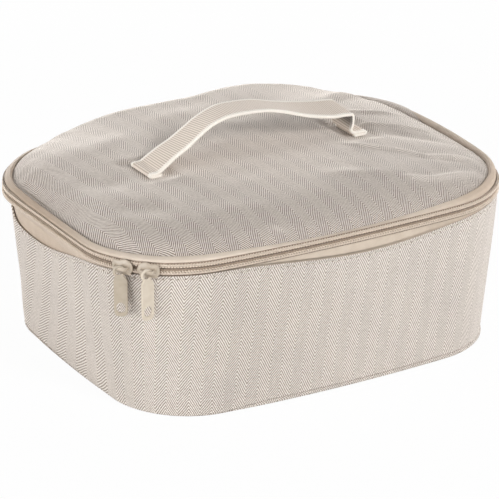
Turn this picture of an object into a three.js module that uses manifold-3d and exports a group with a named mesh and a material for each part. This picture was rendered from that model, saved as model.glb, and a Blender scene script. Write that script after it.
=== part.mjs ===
import * as THREE from 'three';
import { mergeVertices } from 'three/addons/utils/BufferGeometryUtils.js';
import Module from 'manifold-3d';

const wasm = await Module();
wasm.setup();

// Soft insulated bag, in millimetres, standing on z = 0 with its front towards -Y.

// Plan at the zip line.
const rimHalfWidth = 145;
const rimHalfDepth = 114;
const rimCornerRadius = 68;
const rimFrontBow = 12;
const rimSideBow = 9;

// Plan at the floor: the walls lean out from it to the zip line.
const sideFlare = 15;
const frontFlare = 4;
const baseHalfWidth = rimHalfWidth - sideFlare;
const baseHalfDepth = rimHalfDepth - frontFlare;
const baseCornerRadius = 56;
const baseFrontBow = 10;
const baseSideBow = 6.5;

// Heights of the zip line and of the lid above it.
const zipHeight = 98;
const crownRise = 22.6;
const crownReach = 16;
const shoulderRadius = 13;
const shoulderDrop = 1.4;
const seamRise = 6.6;
const seamInset = 6;

// Layers of the walls, the base and the lid.
const fabricThickness = 1.2;
const foamThickness = 5;
const linerThickness = 0.8;
const bindingThickness = 1.2;
const bindingLeg = 9;
const layerGap = 0.3;
const seamGap = 0.3;
const baseLip = 3.2;
const hingeGap = 1;

// Zip chain and tapes.
const tapeThickness = 0.8;
const tapeDrop = 20;
const tapeInset = 0.6;
const chainGap = 1.3;
const coilWidth = 3.4;
const coilThickness = 2.2;
const coilGroove = 0.9;
const toothPitch = 2.2;
const chainEndLength = 8;
const frontDip = 6.4;
const frontDipReach = 92;
const sideDip = 10.4;
const sideDipCentre = 28;
const sideDipReach = 84;

// Sliders and pullers.
const sliderLength = 14.5;
const sliderRearWidth = 8.8;
const sliderNoseWidth = 11.4;
const plateThickness = 1.4;
const plateClearance = 0.8;
const neckThickness = 0.7;
const neckLength = 3;
const flangeWidth = 1.2;
const flangeDepth = 1.2;
const bridgeLength = 10;
const bridgeWidth = 2.4;
const bridgeThickness = 1.2;
const bridgePost = 1.6;
const eyeClearance = 0.36;
const eyeWall = 1;
const eyeWidth = 4.5;
const tabWidth = 8.6;
const tabLength = 31;
const tabThickness = 1.6;
const tabHole = 4.4;
const meetAngle = 220;
const noseGap = 2.6;

// Carrying strap.
const strapWidth = 25;
const strapThickness = 1.8;
const strapHalfSpan = 79;
const strapRise = 28.5;
const strapHem = 12;

// Facets round the plan.
const frontSegments = 8;
const cornerSegments = 6;
const sideSegments = 4;
const curveSegments = 12;

const weave = { color: 0xd8cfc2, roughness: 0.92, metalness: 0 };
const lidWeave = { color: 0xc9bfb2, roughness: 0.92, metalness: 0 };
const foam = { color: 0xeeeeea, roughness: 0.85, metalness: 0 };
const foil = { color: 0xc9ccce, roughness: 0.38, metalness: 0.35 };
const tape = { color: 0xc9b9a2, roughness: 0.85, metalness: 0 };
const nylon = { color: 0xb3a38c, roughness: 0.55, metalness: 0 };
const webbing = { color: 0xcbbba8, roughness: 0.88, metalness: 0 };
const paintedMetal = { color: 0xcbbfa6, roughness: 0.4, metalness: 0.3 };

const part = new THREE.Group();
part.name = 'cooler_bag';

const addPiece = (name, geometry, look) => {
  const mesh = new THREE.Mesh(geometry, new THREE.MeshStandardMaterial(look));
  mesh.name = name;
  part.add(mesh);
};

const solidOf = (points, faces) => {
  let volume = 0;
  for (const [a, b, c] of faces) {
    volume += points[a].dot(points[b].clone().cross(points[c]));
  }
  const order = volume < 0 ? faces.map(([a, b, c]) => [a, c, b]) : faces;
  const geometry = new THREE.BufferGeometry();
  geometry.setAttribute('position', new THREE.Float32BufferAttribute(points.flatMap((p) => p.toArray()), 3));
  geometry.setIndex(order.flat());
  return geometry;
};

const bodyOf = (geometry) => {
  geometry.deleteAttribute('normal');
  geometry.deleteAttribute('uv');
  const merged = mergeVertices(geometry, 1e-4);
  const mesh = new wasm.Mesh({
    numProp: 3,
    vertProperties: new Float32Array(merged.attributes.position.array),
    triVerts: new Uint32Array(merged.index.array),
  });
  return new wasm.Manifold(mesh);
};

const geometryOf = (body) => {
  const mesh = body.getMesh();
  const geometry = new THREE.BufferGeometry();
  geometry.setAttribute('position', new THREE.BufferAttribute(new Float32Array(mesh.vertProperties), 3));
  geometry.setIndex(new THREE.BufferAttribute(new Uint32Array(mesh.triVerts), 1));
  return geometry;
};

// A plan outline of eight tangent arcs: two long bows, two side bows and four corners.
const planOf = (halfWidth, halfDepth, cornerRadius, frontBow, sideBow) => {
  const bowRadius = (half, bow) => (half ** 2 + bow ** 2) / (2 * bow);
  const backRadius = bowRadius(halfWidth, frontBow);
  const sideRadius = bowRadius(halfDepth, sideBow);
  const backCentre = new THREE.Vector2(0, halfDepth - backRadius);
  const sideCentre = new THREE.Vector2(halfWidth - sideRadius, 0);
  const between = sideCentre.clone().sub(backCentre);
  const span = between.length();
  const fromBack = backRadius - cornerRadius;
  const fromSide = sideRadius - cornerRadius;
  const along = (span ** 2 + fromBack ** 2 - fromSide ** 2) / (2 * span);
  const across = Math.sqrt(fromBack ** 2 - along ** 2);
  const unit = between.clone().normalize();
  const corner = backCentre.clone().addScaledVector(unit, along);
  corner.add(new THREE.Vector2(unit.y, -unit.x).multiplyScalar(across));
  const sideEnd = Math.atan2(corner.y - sideCentre.y, corner.x - sideCentre.x);
  const cornerEnd = Math.atan2(corner.y - backCentre.y, corner.x - backCentre.x);
  const quarter = [];
  const addArc = (centre, radius, from, to, segments) => {
    for (let step = 0; step < segments; step += 1) {
      const angle = from + ((to - from) * step) / segments;
      const normal = new THREE.Vector2(Math.cos(angle), Math.sin(angle));
      quarter.push({ point: centre.clone().addScaledVector(normal, radius), normal });
    }
  };
  addArc(sideCentre, sideRadius, 0, sideEnd, sideSegments / 2);
  addArc(corner, cornerRadius, sideEnd, cornerEnd, cornerSegments);
  addArc(backCentre, backRadius, cornerEnd, Math.PI / 2, frontSegments / 2);
  quarter.push({ point: new THREE.Vector2(0, halfDepth), normal: new THREE.Vector2(0, 1) });
  const turned = (x, y, reversed) => {
    const copy = quarter.map(({ point, normal }) => ({
      point: new THREE.Vector2(point.x * x, point.y * y),
      normal: new THREE.Vector2(normal.x * x, normal.y * y),
    }));
    return (reversed ? copy.reverse() : copy).slice(0, -1);
  };
  const ring = [...turned(-1, 1, true), ...turned(-1, -1, false), ...turned(1, -1, true), ...turned(1, 1, false)];
  return { ring, corner };
};

const rim = planOf(rimHalfWidth, rimHalfDepth, rimCornerRadius, rimFrontBow, rimSideBow);
const base = planOf(baseHalfWidth, baseHalfDepth, baseCornerRadius, baseFrontBow, baseSideBow);
const stations = rim.ring.length;
const zipFirst = frontSegments / 2;
const zipLast = stations - frontSegments / 2;
const edgeZone = 12;

// Layer positions, as heights.
const sliderHalf = sliderNoseWidth / 2;
const baseFoamLow = fabricThickness + layerGap;
const baseFoamHigh = baseFoamLow + foamThickness;
const linerLow = baseFoamHigh + layerGap;
const bindingHigh = zipHeight - sliderHalf - plateClearance - layerGap;
const foamHigh = bindingHigh - bindingThickness - layerGap;
const tapeLow = zipHeight - tapeDrop;
const tapeEdge = chainGap / 2 + layerGap;
const coilFar = chainGap / 2 + coilWidth;

// The point at a station round the plan, set in from the outline: the walls flare up to the foam's top edge.
const stationPoint = (station, inset, height) => {
  const index = ((station % stations) + stations) % stations;
  const share = Math.min(Math.max(height / foamHigh, 0), 1);
  const low = base.ring[index];
  const high = rim.ring[index];
  const normal = low.normal.clone().lerp(high.normal, share).normalize();
  const spot = low.point.clone().lerp(high.point, share);
  spot.addScaledVector(normal, -Math.min(inset, edgeZone));
  const rest = Math.max(inset - edgeZone, 0);
  spot.x *= 1 - rest / (rimHalfWidth - edgeZone);
  spot.y *= 1 - rest / (rimHalfDepth - edgeZone);
  return new THREE.Vector3(spot.x, spot.y, height);
};

const place = (station, inset, height) => {
  const whole = Math.floor(station + 1e-9);
  const share = station - whole;
  const start = stationPoint(whole, inset, height);
  return share < 1e-6 ? start : start.lerp(stationPoint(whole + 1, inset, height), share);
};

const stationsFrom = (first, last) => {
  const list = [first];
  for (let station = Math.floor(first + 1e-9) + 1; station < last - 1e-9; station += 1) {
    list.push(station);
  }
  list.push(last);
  return list;
};

const ringStations = Array.from({ length: stations }, (unused, index) => index);

// A section of inset and height pairs carried round the plan, closed or with two flat ends.
const sweep = (list, sectionAt, closed) => {
  const points = [];
  const faces = [];
  const sections = list.map((station) => sectionAt(station));
  const size = sections[0].length;
  list.forEach((station, row) => {
    sections[row].forEach(([inset, height]) => points.push(place(station, inset, height)));
  });
  const rows = list.length;
  const last = closed ? rows : rows - 1;
  for (let row = 0; row < last; row += 1) {
    const here = row * size;
    const next = ((row + 1) % rows) * size;
    for (let side = 0; side < size; side += 1) {
      const other = (side + 1) % size;
      faces.push([here + side, next + side, next + other]);
      faces.push([here + side, next + other, here + other]);
    }
  }
  if (!closed) {
    const flat = (section) => section.map(([inset, height]) => new THREE.Vector2(inset, height));
    const cap = (section) => THREE.ShapeUtils.triangulateShape(flat(section), []);
    const turn = THREE.ShapeUtils.isClockWise(flat(sections[0])) ? 1 : -1;
    const addCap = (section, offset, sign) => {
      cap(section).forEach(([a, b, c]) => {
        const face = [a, b, c].map((index) => index + offset);
        const corners = [a, b, c].map((index) => flat(section)[index]);
        const clockwise = THREE.ShapeUtils.isClockWise(corners) ? 1 : -1;
        faces.push(clockwise * turn * sign > 0 ? face : face.reverse());
      });
    };
    addCap(sections[0], 0, 1);
    addCap(sections[rows - 1], (rows - 1) * size, -1);
  }
  return solidOf(points, faces);
};

// A skin over the whole plan: each profile runs from the upper middle out to the edge and back below.
const dome = (profileAt, upperHeight, lowerHeight, upperSize = profileAt(0).length / 2) => {
  const points = [new THREE.Vector3(0, 0, upperHeight)];
  const faces = [];
  const size = profileAt(0).length;
  ringStations.forEach((station) => {
    profileAt(station).forEach(([inset, height]) => points.push(place(station, inset, height)));
  });
  const lower = points.length;
  points.push(new THREE.Vector3(0, 0, lowerHeight));
  for (let row = 0; row < stations; row += 1) {
    const here = 1 + row * size;
    const next = 1 + ((row + 1) % stations) * size;
    faces.push([0, here, next]);
    for (let side = 0; side < size - 1; side += 1) {
      const inner = side < upperSize ? here + side : here + side + 1;
      const outer = side < upperSize ? next + side + 1 : next + side;
      faces.push([here + side, here + side + 1, outer]);
      faces.push([inner, next + side + 1, next + side]);
    }
    faces.push([here + size - 1, lower, next + size - 1]);
  }
  return solidOf(points, faces);
};

// A line of inset and height pairs moved square to itself, towards its inner side.
const shifted = (line, depth) =>
  line.map((spot, index) => {
    const before = line[Math.max(index - 1, 0)];
    const after = line[Math.min(index + 1, line.length - 1)];
    const first = new THREE.Vector2(spot[0] - before[0], spot[1] - before[1]).normalize();
    const second = new THREE.Vector2(after[0] - spot[0], after[1] - spot[1]).normalize();
    const along = first.clone().add(second).normalize();
    const half = Math.max(along.dot(index === 0 ? second : first), 0.5);
    return [spot[0] + (along.y * depth) / half, spot[1] - (along.x * depth) / half];
  });

const strip = (inner, outer, low, high) => {
  const bend = Math.min(foamHigh, high - layerGap);
  return [[outer, low], [inner, low], [inner, bend], [inner, high], [outer, high], [outer, bend]];
};

// Layer positions, as insets from the zip line.
const tapeInner = tapeInset + tapeThickness;
const fabricInner = tapeInset - layerGap;
const fabricOuter = fabricInner - fabricThickness;
const foamOuter = fabricInner + layerGap;
const foamBehindTape = tapeInner + layerGap;
const foamInner = foamBehindTape + foamThickness;
const linerOuter = foamInner + layerGap;
const linerInner = linerOuter + linerThickness;
const bindingInner = linerInner + layerGap + bindingThickness;

// How far the folded edge of the wall hangs below the zip line at a station.
const foldDrop = (station) => {
  const spot = place(station, 0, zipHeight);
  const bell = (distance, reach) => (Math.abs(distance) < reach ? Math.cos((Math.PI * distance) / (2 * reach)) ** 2 : 0);
  const front = spot.y < -rimHalfDepth / 2 ? frontDip * bell(spot.x, frontDipReach) : 0;
  const side = sideDip * bell(spot.y - sideDipCentre, sideDipReach) * Math.min(Math.abs(spot.x) / rimHalfWidth, 1) ** 3;
  return coilFar + 2 * layerGap + front + side;
};

// The ends of neighbouring pieces stand a seam apart.
const stationStep = place(zipFirst, 0, zipHeight).distanceTo(place(zipFirst + 1, 0, zipHeight));
const seamShare = seamGap / 2 / stationStep;
const zipStations = stationsFrom(zipFirst + seamShare, zipLast - seamShare);
const backStations = stationsFrom(zipLast + seamShare, zipFirst + stations - seamShare);

// Base of the bag.
const basePanelAt = () => [
  [baseFoamLow + edgeZone, fabricThickness],
  [fabricInner, fabricThickness],
  [fabricInner, baseLip],
  [fabricOuter, baseLip],
  [fabricOuter, fabricThickness],
  [fabricInner, 0],
  [baseFoamLow + edgeZone, 0],
];
addPiece('base_panel', dome(basePanelAt, fabricThickness, 0), weave);

const slabAt = (inset, low, high) => () => [
  [inset + edgeZone, high],
  [inset, high],
  [inset, low],
  [inset + edgeZone, low],
];
addPiece('base_foam', dome(slabAt(foamOuter, baseFoamLow, baseFoamHigh), baseFoamHigh, baseFoamLow), foam);

const baseLinerHigh = linerLow + linerThickness;
const baseLinerInset = linerInner + layerGap;
addPiece('base_liner', dome(slabAt(baseLinerInset, linerLow, baseLinerHigh), baseLinerHigh, linerLow), foil);

// Walls of the bag.
const wallLow = baseLip + layerGap;
const wallAt = (station) => strip(fabricInner, fabricOuter, wallLow, zipHeight - foldDrop(station));
addPiece('outer_wall', sweep(zipStations, wallAt, false), weave);

const backAt = () => strip(fabricInner, fabricOuter, wallLow, zipHeight - hingeGap);
addPiece('back_panel', sweep(backStations, backAt, false), weave);

const wallFoamAt = () => [
  [foamOuter, linerLow],
  [foamInner, linerLow],
  [foamInner, foamHigh],
  [foamBehindTape, foamHigh],
  [foamBehindTape, tapeLow - layerGap],
  [foamOuter, tapeLow - layerGap - foamBehindTape],
];
addPiece('side_foam', sweep(zipStations, wallFoamAt, false), foam);
addPiece('back_foam', sweep(backStations, wallFoamAt, false), foam);

const wallLinerAt = () => [
  [linerOuter, linerLow],
  [linerInner, linerLow],
  [linerInner, foamHigh],
  [linerOuter, foamHigh],
];
addPiece('wall_liner', sweep(ringStations, wallLinerAt, true), foil);

const rimBindingAt = () => [
  [foamBehindTape, foamHigh + layerGap],
  [linerInner + layerGap, foamHigh + layerGap],
  [linerInner + layerGap, foamHigh - bindingLeg],
  [bindingInner, foamHigh - bindingLeg],
  [bindingInner, bindingHigh],
  [foamBehindTape, bindingHigh],
];
addPiece('rim_binding', sweep(ringStations, rimBindingAt, true), tape);

const lowerTapeAt = () => strip(tapeInner, tapeInset, tapeLow, zipHeight - tapeEdge);
addPiece('lower_zip_tape', sweep(zipStations, lowerTapeAt, false), tape);

const hingeStripAt = () => strip(tapeInner, tapeInset, tapeLow, zipHeight - tapeEdge);
addPiece('hinge_strip', sweep(backStations, hingeStripAt, false), tape);

// Lid: the crown rises from the seam at the front and sides, and from the hinge at the back.
const frontSteps = [0, 1.5, 4.5, 10, 20, 40, 80];
const frontProfile = frontSteps.map((step) => {
  const rise = seamRise + (crownRise - seamRise) * (1 - Math.exp(-step / crownReach));
  return [seamInset + step, zipHeight + rise];
});
const crownBend = frontProfile.at(-2);
const crownEnd = frontProfile.at(-1);
const shoulderTop = zipHeight + crownRise - shoulderDrop;
const shoulderAngles = [0, 30, 60, 90];
const backProfile = [
  [fabricOuter, zipHeight + hingeGap],
  ...shoulderAngles.map((angle) => {
    const turn = THREE.MathUtils.degToRad(angle);
    const inset = fabricOuter + shoulderRadius * (1 - Math.cos(turn));
    return [inset, shoulderTop - shoulderRadius * (1 - Math.sin(turn))];
  }),
  [crownBend[0], zipHeight + crownRise - shoulderDrop / 3],
  crownEnd,
];
const crownTop = zipHeight + crownRise;
const crownAt = (station) => (station < zipFirst || station > zipLast ? backProfile : frontProfile);
const everyStep = () => true;
const everySecond = (unused, index) => index % 2 === 0;
const lidLayer = (top, bottom, keptAbove, keptBelow) => {
  const profileAt = (station) => {
    const line = crownAt(station);
    return [...shifted(line, top).filter(keptAbove).reverse(), ...shifted(line, bottom).filter(keptBelow)];
  };
  const upperSize = frontProfile.filter(keptAbove).length;
  return dome(profileAt, crownTop - top, crownTop - bottom, upperSize);
};
const lidFoamTop = fabricThickness + layerGap;
const lidFoamBottom = lidFoamTop + foamThickness;
const lidLinerTop = lidFoamBottom + layerGap;
const lidLinerBottom = lidLinerTop + linerThickness;
addPiece('lid_panel', lidLayer(0, fabricThickness, everyStep, everyStep), lidWeave);
addPiece('lid_foam', lidLayer(lidFoamTop, lidFoamBottom, everyStep, everySecond), foam);
addPiece('lid_liner', lidLayer(lidLinerTop, lidLinerBottom, everySecond, everySecond), foil);

// Binding along the cut edge of the lid layers.
const edgeStart = new THREE.Vector2(...frontProfile[0]);
const edgeAlong = new THREE.Vector2(...frontProfile[1]).sub(edgeStart).normalize();
const edgeIn = new THREE.Vector2(edgeAlong.y, -edgeAlong.x);
const edgeSpot = (depth, out) => {
  const spot = edgeStart.clone().addScaledVector(edgeIn, depth).addScaledVector(edgeAlong, -out);
  return [spot.x, spot.y];
};
const lidBindingAt = () => [
  edgeSpot(fabricThickness, layerGap),
  edgeSpot(lidLinerBottom + layerGap, layerGap),
  edgeSpot(lidLinerBottom + layerGap, layerGap + bindingThickness),
  edgeSpot(fabricThickness, layerGap + bindingThickness),
];
addPiece('lid_binding', sweep(zipStations, lidBindingAt, false), tape);

// Upper tape: a band that rolls over from the chain to the lid seam.
const rollTop = zipHeight + seamRise + tapeThickness;
const seamEnd = seamInset - layerGap;
const upperTapeLine = [
  [tapeInset, zipHeight + tapeEdge],
  [tapeInset, zipHeight + coilFar + layerGap],
  [tapeInset + seamEnd * 0.14, rollTop - tapeThickness],
  [tapeInset + seamEnd * 0.4, rollTop],
  [seamEnd - tapeThickness, rollTop - tapeThickness * 0.2],
  [seamEnd - layerGap, rollTop - tapeThickness * 1.2],
];
const upperTapeAt = () => [...upperTapeLine, ...shifted(upperTapeLine, tapeThickness).reverse()];
addPiece('upper_zip_tape', sweep(zipStations, upperTapeAt, false), tape);

// Coils: a row of ridges along each edge of the chain.
const chainStations = () => {
  const list = [];
  let wanted = chainEndLength;
  let passed = 0;
  for (let station = zipFirst; station < zipLast; station += 1) {
    const length = place(station, 0, zipHeight).distanceTo(place(station + 1, 0, zipHeight));
    while (wanted <= passed + length) {
      list.push(station + (wanted - passed) / length);
      wanted += toothPitch / 2;
    }
    passed += length;
  }
  const spare = Math.ceil((2 * chainEndLength) / toothPitch);
  const kept = list.slice(0, -spare);
  return kept.length % 2 ? kept : kept.slice(0, -1);
};
const halfPitches = chainStations();

const coilOf = (side) => {
  const points = [];
  const faces = [];
  const seat = tapeInset - layerGap;
  const near = zipHeight + (side * chainGap) / 2;
  const far = zipHeight + side * coilFar;
  const middle = (near + far) / 2;
  const teeth = (halfPitches.length + 1) / 2;
  halfPitches.forEach((station, index) => {
    if (index % 2) {
      points.push(place(station, seat - coilThickness + coilGroove, middle));
    } else {
      points.push(place(station, seat, near));
      points.push(place(station, seat, far));
      points.push(place(station, seat - coilThickness, middle));
    }
  });
  for (let tooth = 0; tooth < teeth - 1; tooth += 1) {
    const [near0, far0, ridge0, groove, near1, far1, ridge1] = [0, 1, 2, 3, 4, 5, 6].map((step) => tooth * 4 + step);
    faces.push([near0, far0, far1], [near0, far1, near1]);
    faces.push([near0, groove, ridge0], [near0, near1, groove], [near1, ridge1, groove]);
    faces.push([far0, ridge0, groove], [far0, groove, far1], [far1, groove, ridge1]);
  }
  const end = (teeth - 1) * 4;
  faces.push([0, 2, 1], [end, end + 1, end + 2]);
  return solidOf(points, faces);
};
addPiece('upper_zip_coil', coilOf(1), nylon);
addPiece('lower_zip_coil', coilOf(-1), nylon);

// Carrying strap: a webbing with folded ends that springs up between its two sewn tabs.
const tabHeight = crownTop + layerGap + strapThickness * 1.5;
const strapBends = [
  [-1, 0],
  [-0.83, 0.01],
  [-0.72, 0.16],
  [-0.53, 0.66],
  [-0.36, 0.92],
  [-0.16, 1],
  [0.08, 0.93],
  [0.38, 0.69],
  [0.68, 0.49],
  [0.81, 0.44],
  [0.868, 0.37],
  [0.865, 0.2],
  [0.858, 0.06],
  [0.89, 0.0],
  [1, 0],
];
const strapCurve = new THREE.CatmullRomCurve3(
  strapBends.map(([along, up]) => new THREE.Vector3(along * strapHalfSpan, 0, tabHeight + up * strapRise)),
);
const strapLine = strapCurve.getSpacedPoints(curveSegments * 5).map((spot) => [spot.x, spot.z]);
const strapTop = shifted(strapLine, -strapThickness / 2);
const strapUnder = shifted(strapLine, strapThickness / 2);
const strapShape = new THREE.Shape([...strapTop, ...strapUnder.reverse()].map(([x, z]) => new THREE.Vector2(x, z)));
const strapSolid = new THREE.ExtrudeGeometry(strapShape, { depth: strapWidth, bevelEnabled: false });
strapSolid.rotateX(Math.PI / 2);
strapSolid.translate(0, strapWidth / 2, 0);
const hemOf = (side) => {
  const hem = new THREE.BoxGeometry(strapHem, strapWidth, strapThickness * 1.5);
  const height = crownTop + layerGap + strapThickness * 0.75;
  hem.translate(side * (strapHalfSpan - strapHem / 2), 0, height);
  return bodyOf(hem);
};
const strapBody = bodyOf(strapSolid).add(hemOf(-1)).add(hemOf(1));
addPiece('handle_strap', geometryOf(strapBody), webbing);

// Sliders: two plates joined by a thin neck at the nose, a lower lip on the front plate, and a bridge.
const plateFront = coilThickness - fabricInner + plateClearance;
const plateBack = tapeInner + plateClearance + layerGap;
const axleOut = plateFront + plateThickness + layerGap;
const boreRadius = Math.hypot(bridgeWidth, bridgeThickness) / 2 + eyeClearance;
const eyeRadius = boreRadius + eyeWall;
const axleHeight = axleOut + eyeRadius;

const plateShape = (nose) => {
  const rear = sliderRearWidth / 2;
  const half = sliderNoseWidth / 2;
  const end = sliderLength / 2;
  const shape = new THREE.Shape();
  shape.moveTo(-end * nose, -rear * 0.8);
  shape.quadraticCurveTo(-end * nose, -rear, -end * 0.8 * nose, -rear);
  shape.lineTo(0, -rear * 1.08);
  shape.quadraticCurveTo(end * 0.3 * nose, -half, end * 0.6 * nose, -half);
  shape.quadraticCurveTo(end * nose, -half, end * nose, -half * 0.3);
  shape.lineTo(end * nose, half * 0.3);
  shape.quadraticCurveTo(end * nose, half, end * 0.6 * nose, half);
  shape.quadraticCurveTo(end * 0.3 * nose, half, 0, rear * 1.08);
  shape.lineTo(-end * 0.8 * nose, rear);
  shape.quadraticCurveTo(-end * nose, rear, -end * nose, rear * 0.8);
  return shape;
};

const blockOf = (lowX, highX, lowY, highY, lowZ, highZ) => {
  const block = new THREE.BoxGeometry(highX - lowX, highY - lowY, highZ - lowZ);
  block.translate((lowX + highX) / 2, (lowY + highY) / 2, (lowZ + highZ) / 2);
  return bodyOf(block);
};

const sliderOf = (nose) => {
  const plate = (low) => {
    const options = { depth: plateThickness, bevelEnabled: false, curveSegments: 3 };
    const geometry = new THREE.ExtrudeGeometry(plateShape(nose), options);
    geometry.translate(0, 0, low);
    return bodyOf(geometry);
  };
  const bite = plateThickness / 2;
  const neckAt = nose * (sliderLength / 2 - neckLength);
  const neck = blockOf(
    neckAt - neckLength / 2,
    neckAt + neckLength / 2,
    -neckThickness / 2,
    neckThickness / 2,
    -plateBack - bite,
    plateFront + bite,
  );
  const lipLow = -sliderRearWidth / 2;
  const lip = blockOf(
    -sliderLength * 0.4,
    sliderLength * 0.4,
    lipLow - flangeWidth + layerGap,
    lipLow + layerGap,
    plateFront - flangeDepth,
    plateFront + bite,
  );
  const arch = new THREE.Shape();
  const reach = bridgeLength / 2;
  const top = axleHeight + bridgeThickness / 2;
  const foot = plateFront + bite;
  arch.moveTo(-reach, foot);
  arch.lineTo(-reach, top - bridgeThickness);
  arch.quadraticCurveTo(-reach, top, -reach + bridgePost, top);
  arch.lineTo(reach - bridgePost, top);
  arch.quadraticCurveTo(reach, top, reach, top - bridgeThickness);
  arch.lineTo(reach, foot);
  arch.lineTo(reach - bridgePost, foot);
  arch.lineTo(reach - bridgePost, top - bridgeThickness);
  arch.lineTo(-reach + bridgePost, top - bridgeThickness);
  arch.lineTo(-reach + bridgePost, foot);
  const bridge = new THREE.ExtrudeGeometry(arch, { depth: bridgeWidth, bevelEnabled: false, curveSegments: 3 });
  bridge.rotateX(Math.PI / 2);
  bridge.translate(0, bridgeWidth / 2, 0);
  return plate(plateFront).add(plate(-plateBack - plateThickness)).add(neck).add(lip).add(bodyOf(bridge));
};

// Pullers: an eye round the bridge and a flat tab with a hole near its end.
const pullerOf = () => {
  const ring = new THREE.Shape();
  ring.absarc(0, 0, eyeRadius, 0, Math.PI * 2, false);
  const bore = new THREE.Path();
  bore.absarc(0, 0, boreRadius, 0, Math.PI * 2, true);
  ring.holes.push(bore);
  const eye = new THREE.ExtrudeGeometry(ring, { depth: eyeWidth, bevelEnabled: false, curveSegments });
  eye.rotateY(Math.PI / 2);
  eye.translate(-eyeWidth / 2, 0, axleHeight);
  const half = tabWidth / 2;
  const neckHalf = eyeWidth / 2;
  const start = -boreRadius - eyeWall * 0.2;
  const shoulder = start - tabWidth / 2;
  const round = tabWidth * 0.4;
  const shape = new THREE.Shape();
  shape.moveTo(-neckHalf, start);
  shape.lineTo(-neckHalf, start - eyeWall);
  shape.quadraticCurveTo(-half, (start + shoulder) / 2, -half, shoulder);
  shape.lineTo(-half, round - tabLength);
  shape.quadraticCurveTo(-half, -tabLength, round - half, -tabLength);
  shape.lineTo(half - round, -tabLength);
  shape.quadraticCurveTo(half, -tabLength, half, round - tabLength);
  shape.lineTo(half, shoulder);
  shape.quadraticCurveTo(half, (start + shoulder) / 2, neckHalf, start - eyeWall);
  shape.lineTo(neckHalf, start);
  const hole = new THREE.Path();
  hole.absarc(0, tabHole - tabLength, tabHole / 2, 0, Math.PI * 2, true);
  shape.holes.push(hole);
  const tab = new THREE.ExtrudeGeometry(shape, { depth: tabThickness, bevelEnabled: false, curveSegments: 6 });
  tab.translate(0, 0, axleOut);
  return bodyOf(eye).add(bodyOf(tab));
};

const meetTurn = THREE.MathUtils.degToRad(meetAngle);
const sliderTurn = (sliderLength + noseGap) / 2 / rimCornerRadius;
const zipCorner = new THREE.Vector3(-rim.corner.x, -rim.corner.y, zipHeight);
const seatOnZip = (body, turn) => {
  const outward = new THREE.Vector3(Math.cos(turn), Math.sin(turn), 0);
  const along = new THREE.Vector3(-outward.y, outward.x, 0);
  const frame = new THREE.Matrix4().makeBasis(along, new THREE.Vector3(0, 0, 1), outward);
  frame.setPosition(zipCorner.clone().addScaledVector(outward, rimCornerRadius));
  const geometry = geometryOf(body);
  geometry.applyMatrix4(frame);
  return geometry;
};
addPiece('slider_left', seatOnZip(sliderOf(1), meetTurn - sliderTurn), paintedMetal);
addPiece('slider_right', seatOnZip(sliderOf(-1), meetTurn + sliderTurn), paintedMetal);
addPiece('puller_left', seatOnZip(pullerOf(), meetTurn - sliderTurn), paintedMetal);
addPiece('puller_right', seatOnZip(pullerOf(), meetTurn + sliderTurn), paintedMetal);

export default part;
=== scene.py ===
import math
import bmesh
import bpy
import numpy as np
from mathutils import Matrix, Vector, noise


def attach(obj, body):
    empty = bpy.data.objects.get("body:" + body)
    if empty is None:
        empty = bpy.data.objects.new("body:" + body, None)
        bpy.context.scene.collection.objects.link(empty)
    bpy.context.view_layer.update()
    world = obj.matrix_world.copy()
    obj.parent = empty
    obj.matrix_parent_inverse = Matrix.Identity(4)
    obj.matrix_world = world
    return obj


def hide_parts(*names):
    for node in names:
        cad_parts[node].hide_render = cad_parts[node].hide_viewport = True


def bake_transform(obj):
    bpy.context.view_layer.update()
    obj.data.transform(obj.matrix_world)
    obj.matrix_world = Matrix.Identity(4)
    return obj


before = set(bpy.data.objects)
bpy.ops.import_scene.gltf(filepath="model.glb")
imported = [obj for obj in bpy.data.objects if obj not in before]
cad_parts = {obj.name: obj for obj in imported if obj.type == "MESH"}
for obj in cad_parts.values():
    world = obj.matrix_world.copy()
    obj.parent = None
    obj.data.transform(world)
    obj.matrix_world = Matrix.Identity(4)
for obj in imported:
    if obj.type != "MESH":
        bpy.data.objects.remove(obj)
for leftover in ("Cube", "Light", "Camera"):
    if leftover in bpy.data.objects:
        bpy.data.objects.remove(bpy.data.objects[leftover])
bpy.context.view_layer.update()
print("frame loaded,", len(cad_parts), "nodes")

mm = 0.001  # every shape below is written in millimetres

# stations run round the plan from the middle of the back, and the arcs of each quarter meet at these
ringPlan = {"end": 48, "quarter": 12, "longEnd": 4, "cornerEnd": 10}
ringEnd = ringPlan["end"]

# the bag's plan at the zip line and at the floor, and how the walls rise between them
bagPlan = {
    "rim": {"halfWidth": 145, "halfDepth": 114, "corner": 68, "frontBow": 12, "sideBow": 9},
    "floor": {"halfWidth": 129.4, "halfDepth": 110.2, "corner": 53, "frontBow": 8.8, "sideBow": 6.5},
    "zipHeight": 98,
    "flareTop": 89.7,
    "flareEase": 7.7,
    "edgeZone": 12,
    "lidReach": 115,
    "rise": {"height": 1.75, "station": 25, "reach": 9.5, "from": (58, 90), "to": (118, 106)},
    "pulls": [
        {"depth": 2.4, "station": 12.2, "reach": 3.4, "low": 40, "high": 92},
        {"depth": 2.0, "station": 8.5, "reach": 4.0, "low": 99.5, "high": 104},
    ],
}
zipHeight = bagPlan["zipHeight"]


def smoothStep(low, high, value):
    t = np.clip((np.asarray(value, float) - low) / (high - low), 0, 1)
    return t * t * (3 - 2 * t)


def bell(distance, reach):
    inside = np.abs(distance) < reach
    return np.where(inside, np.cos(np.pi * np.clip(distance / reach, -1, 1) / 2) ** 2, 0)


def wrapped(station):
    return np.mod(np.asarray(station, float), ringEnd)


# 1 at one station of the plan, falling to 0 a reach away
def near(station, centre, reach):
    return bell(wrapped(station) - centre, reach)


def bowRadius(half, bow):
    return (half ** 2 + bow ** 2) / (2 * bow)


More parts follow.
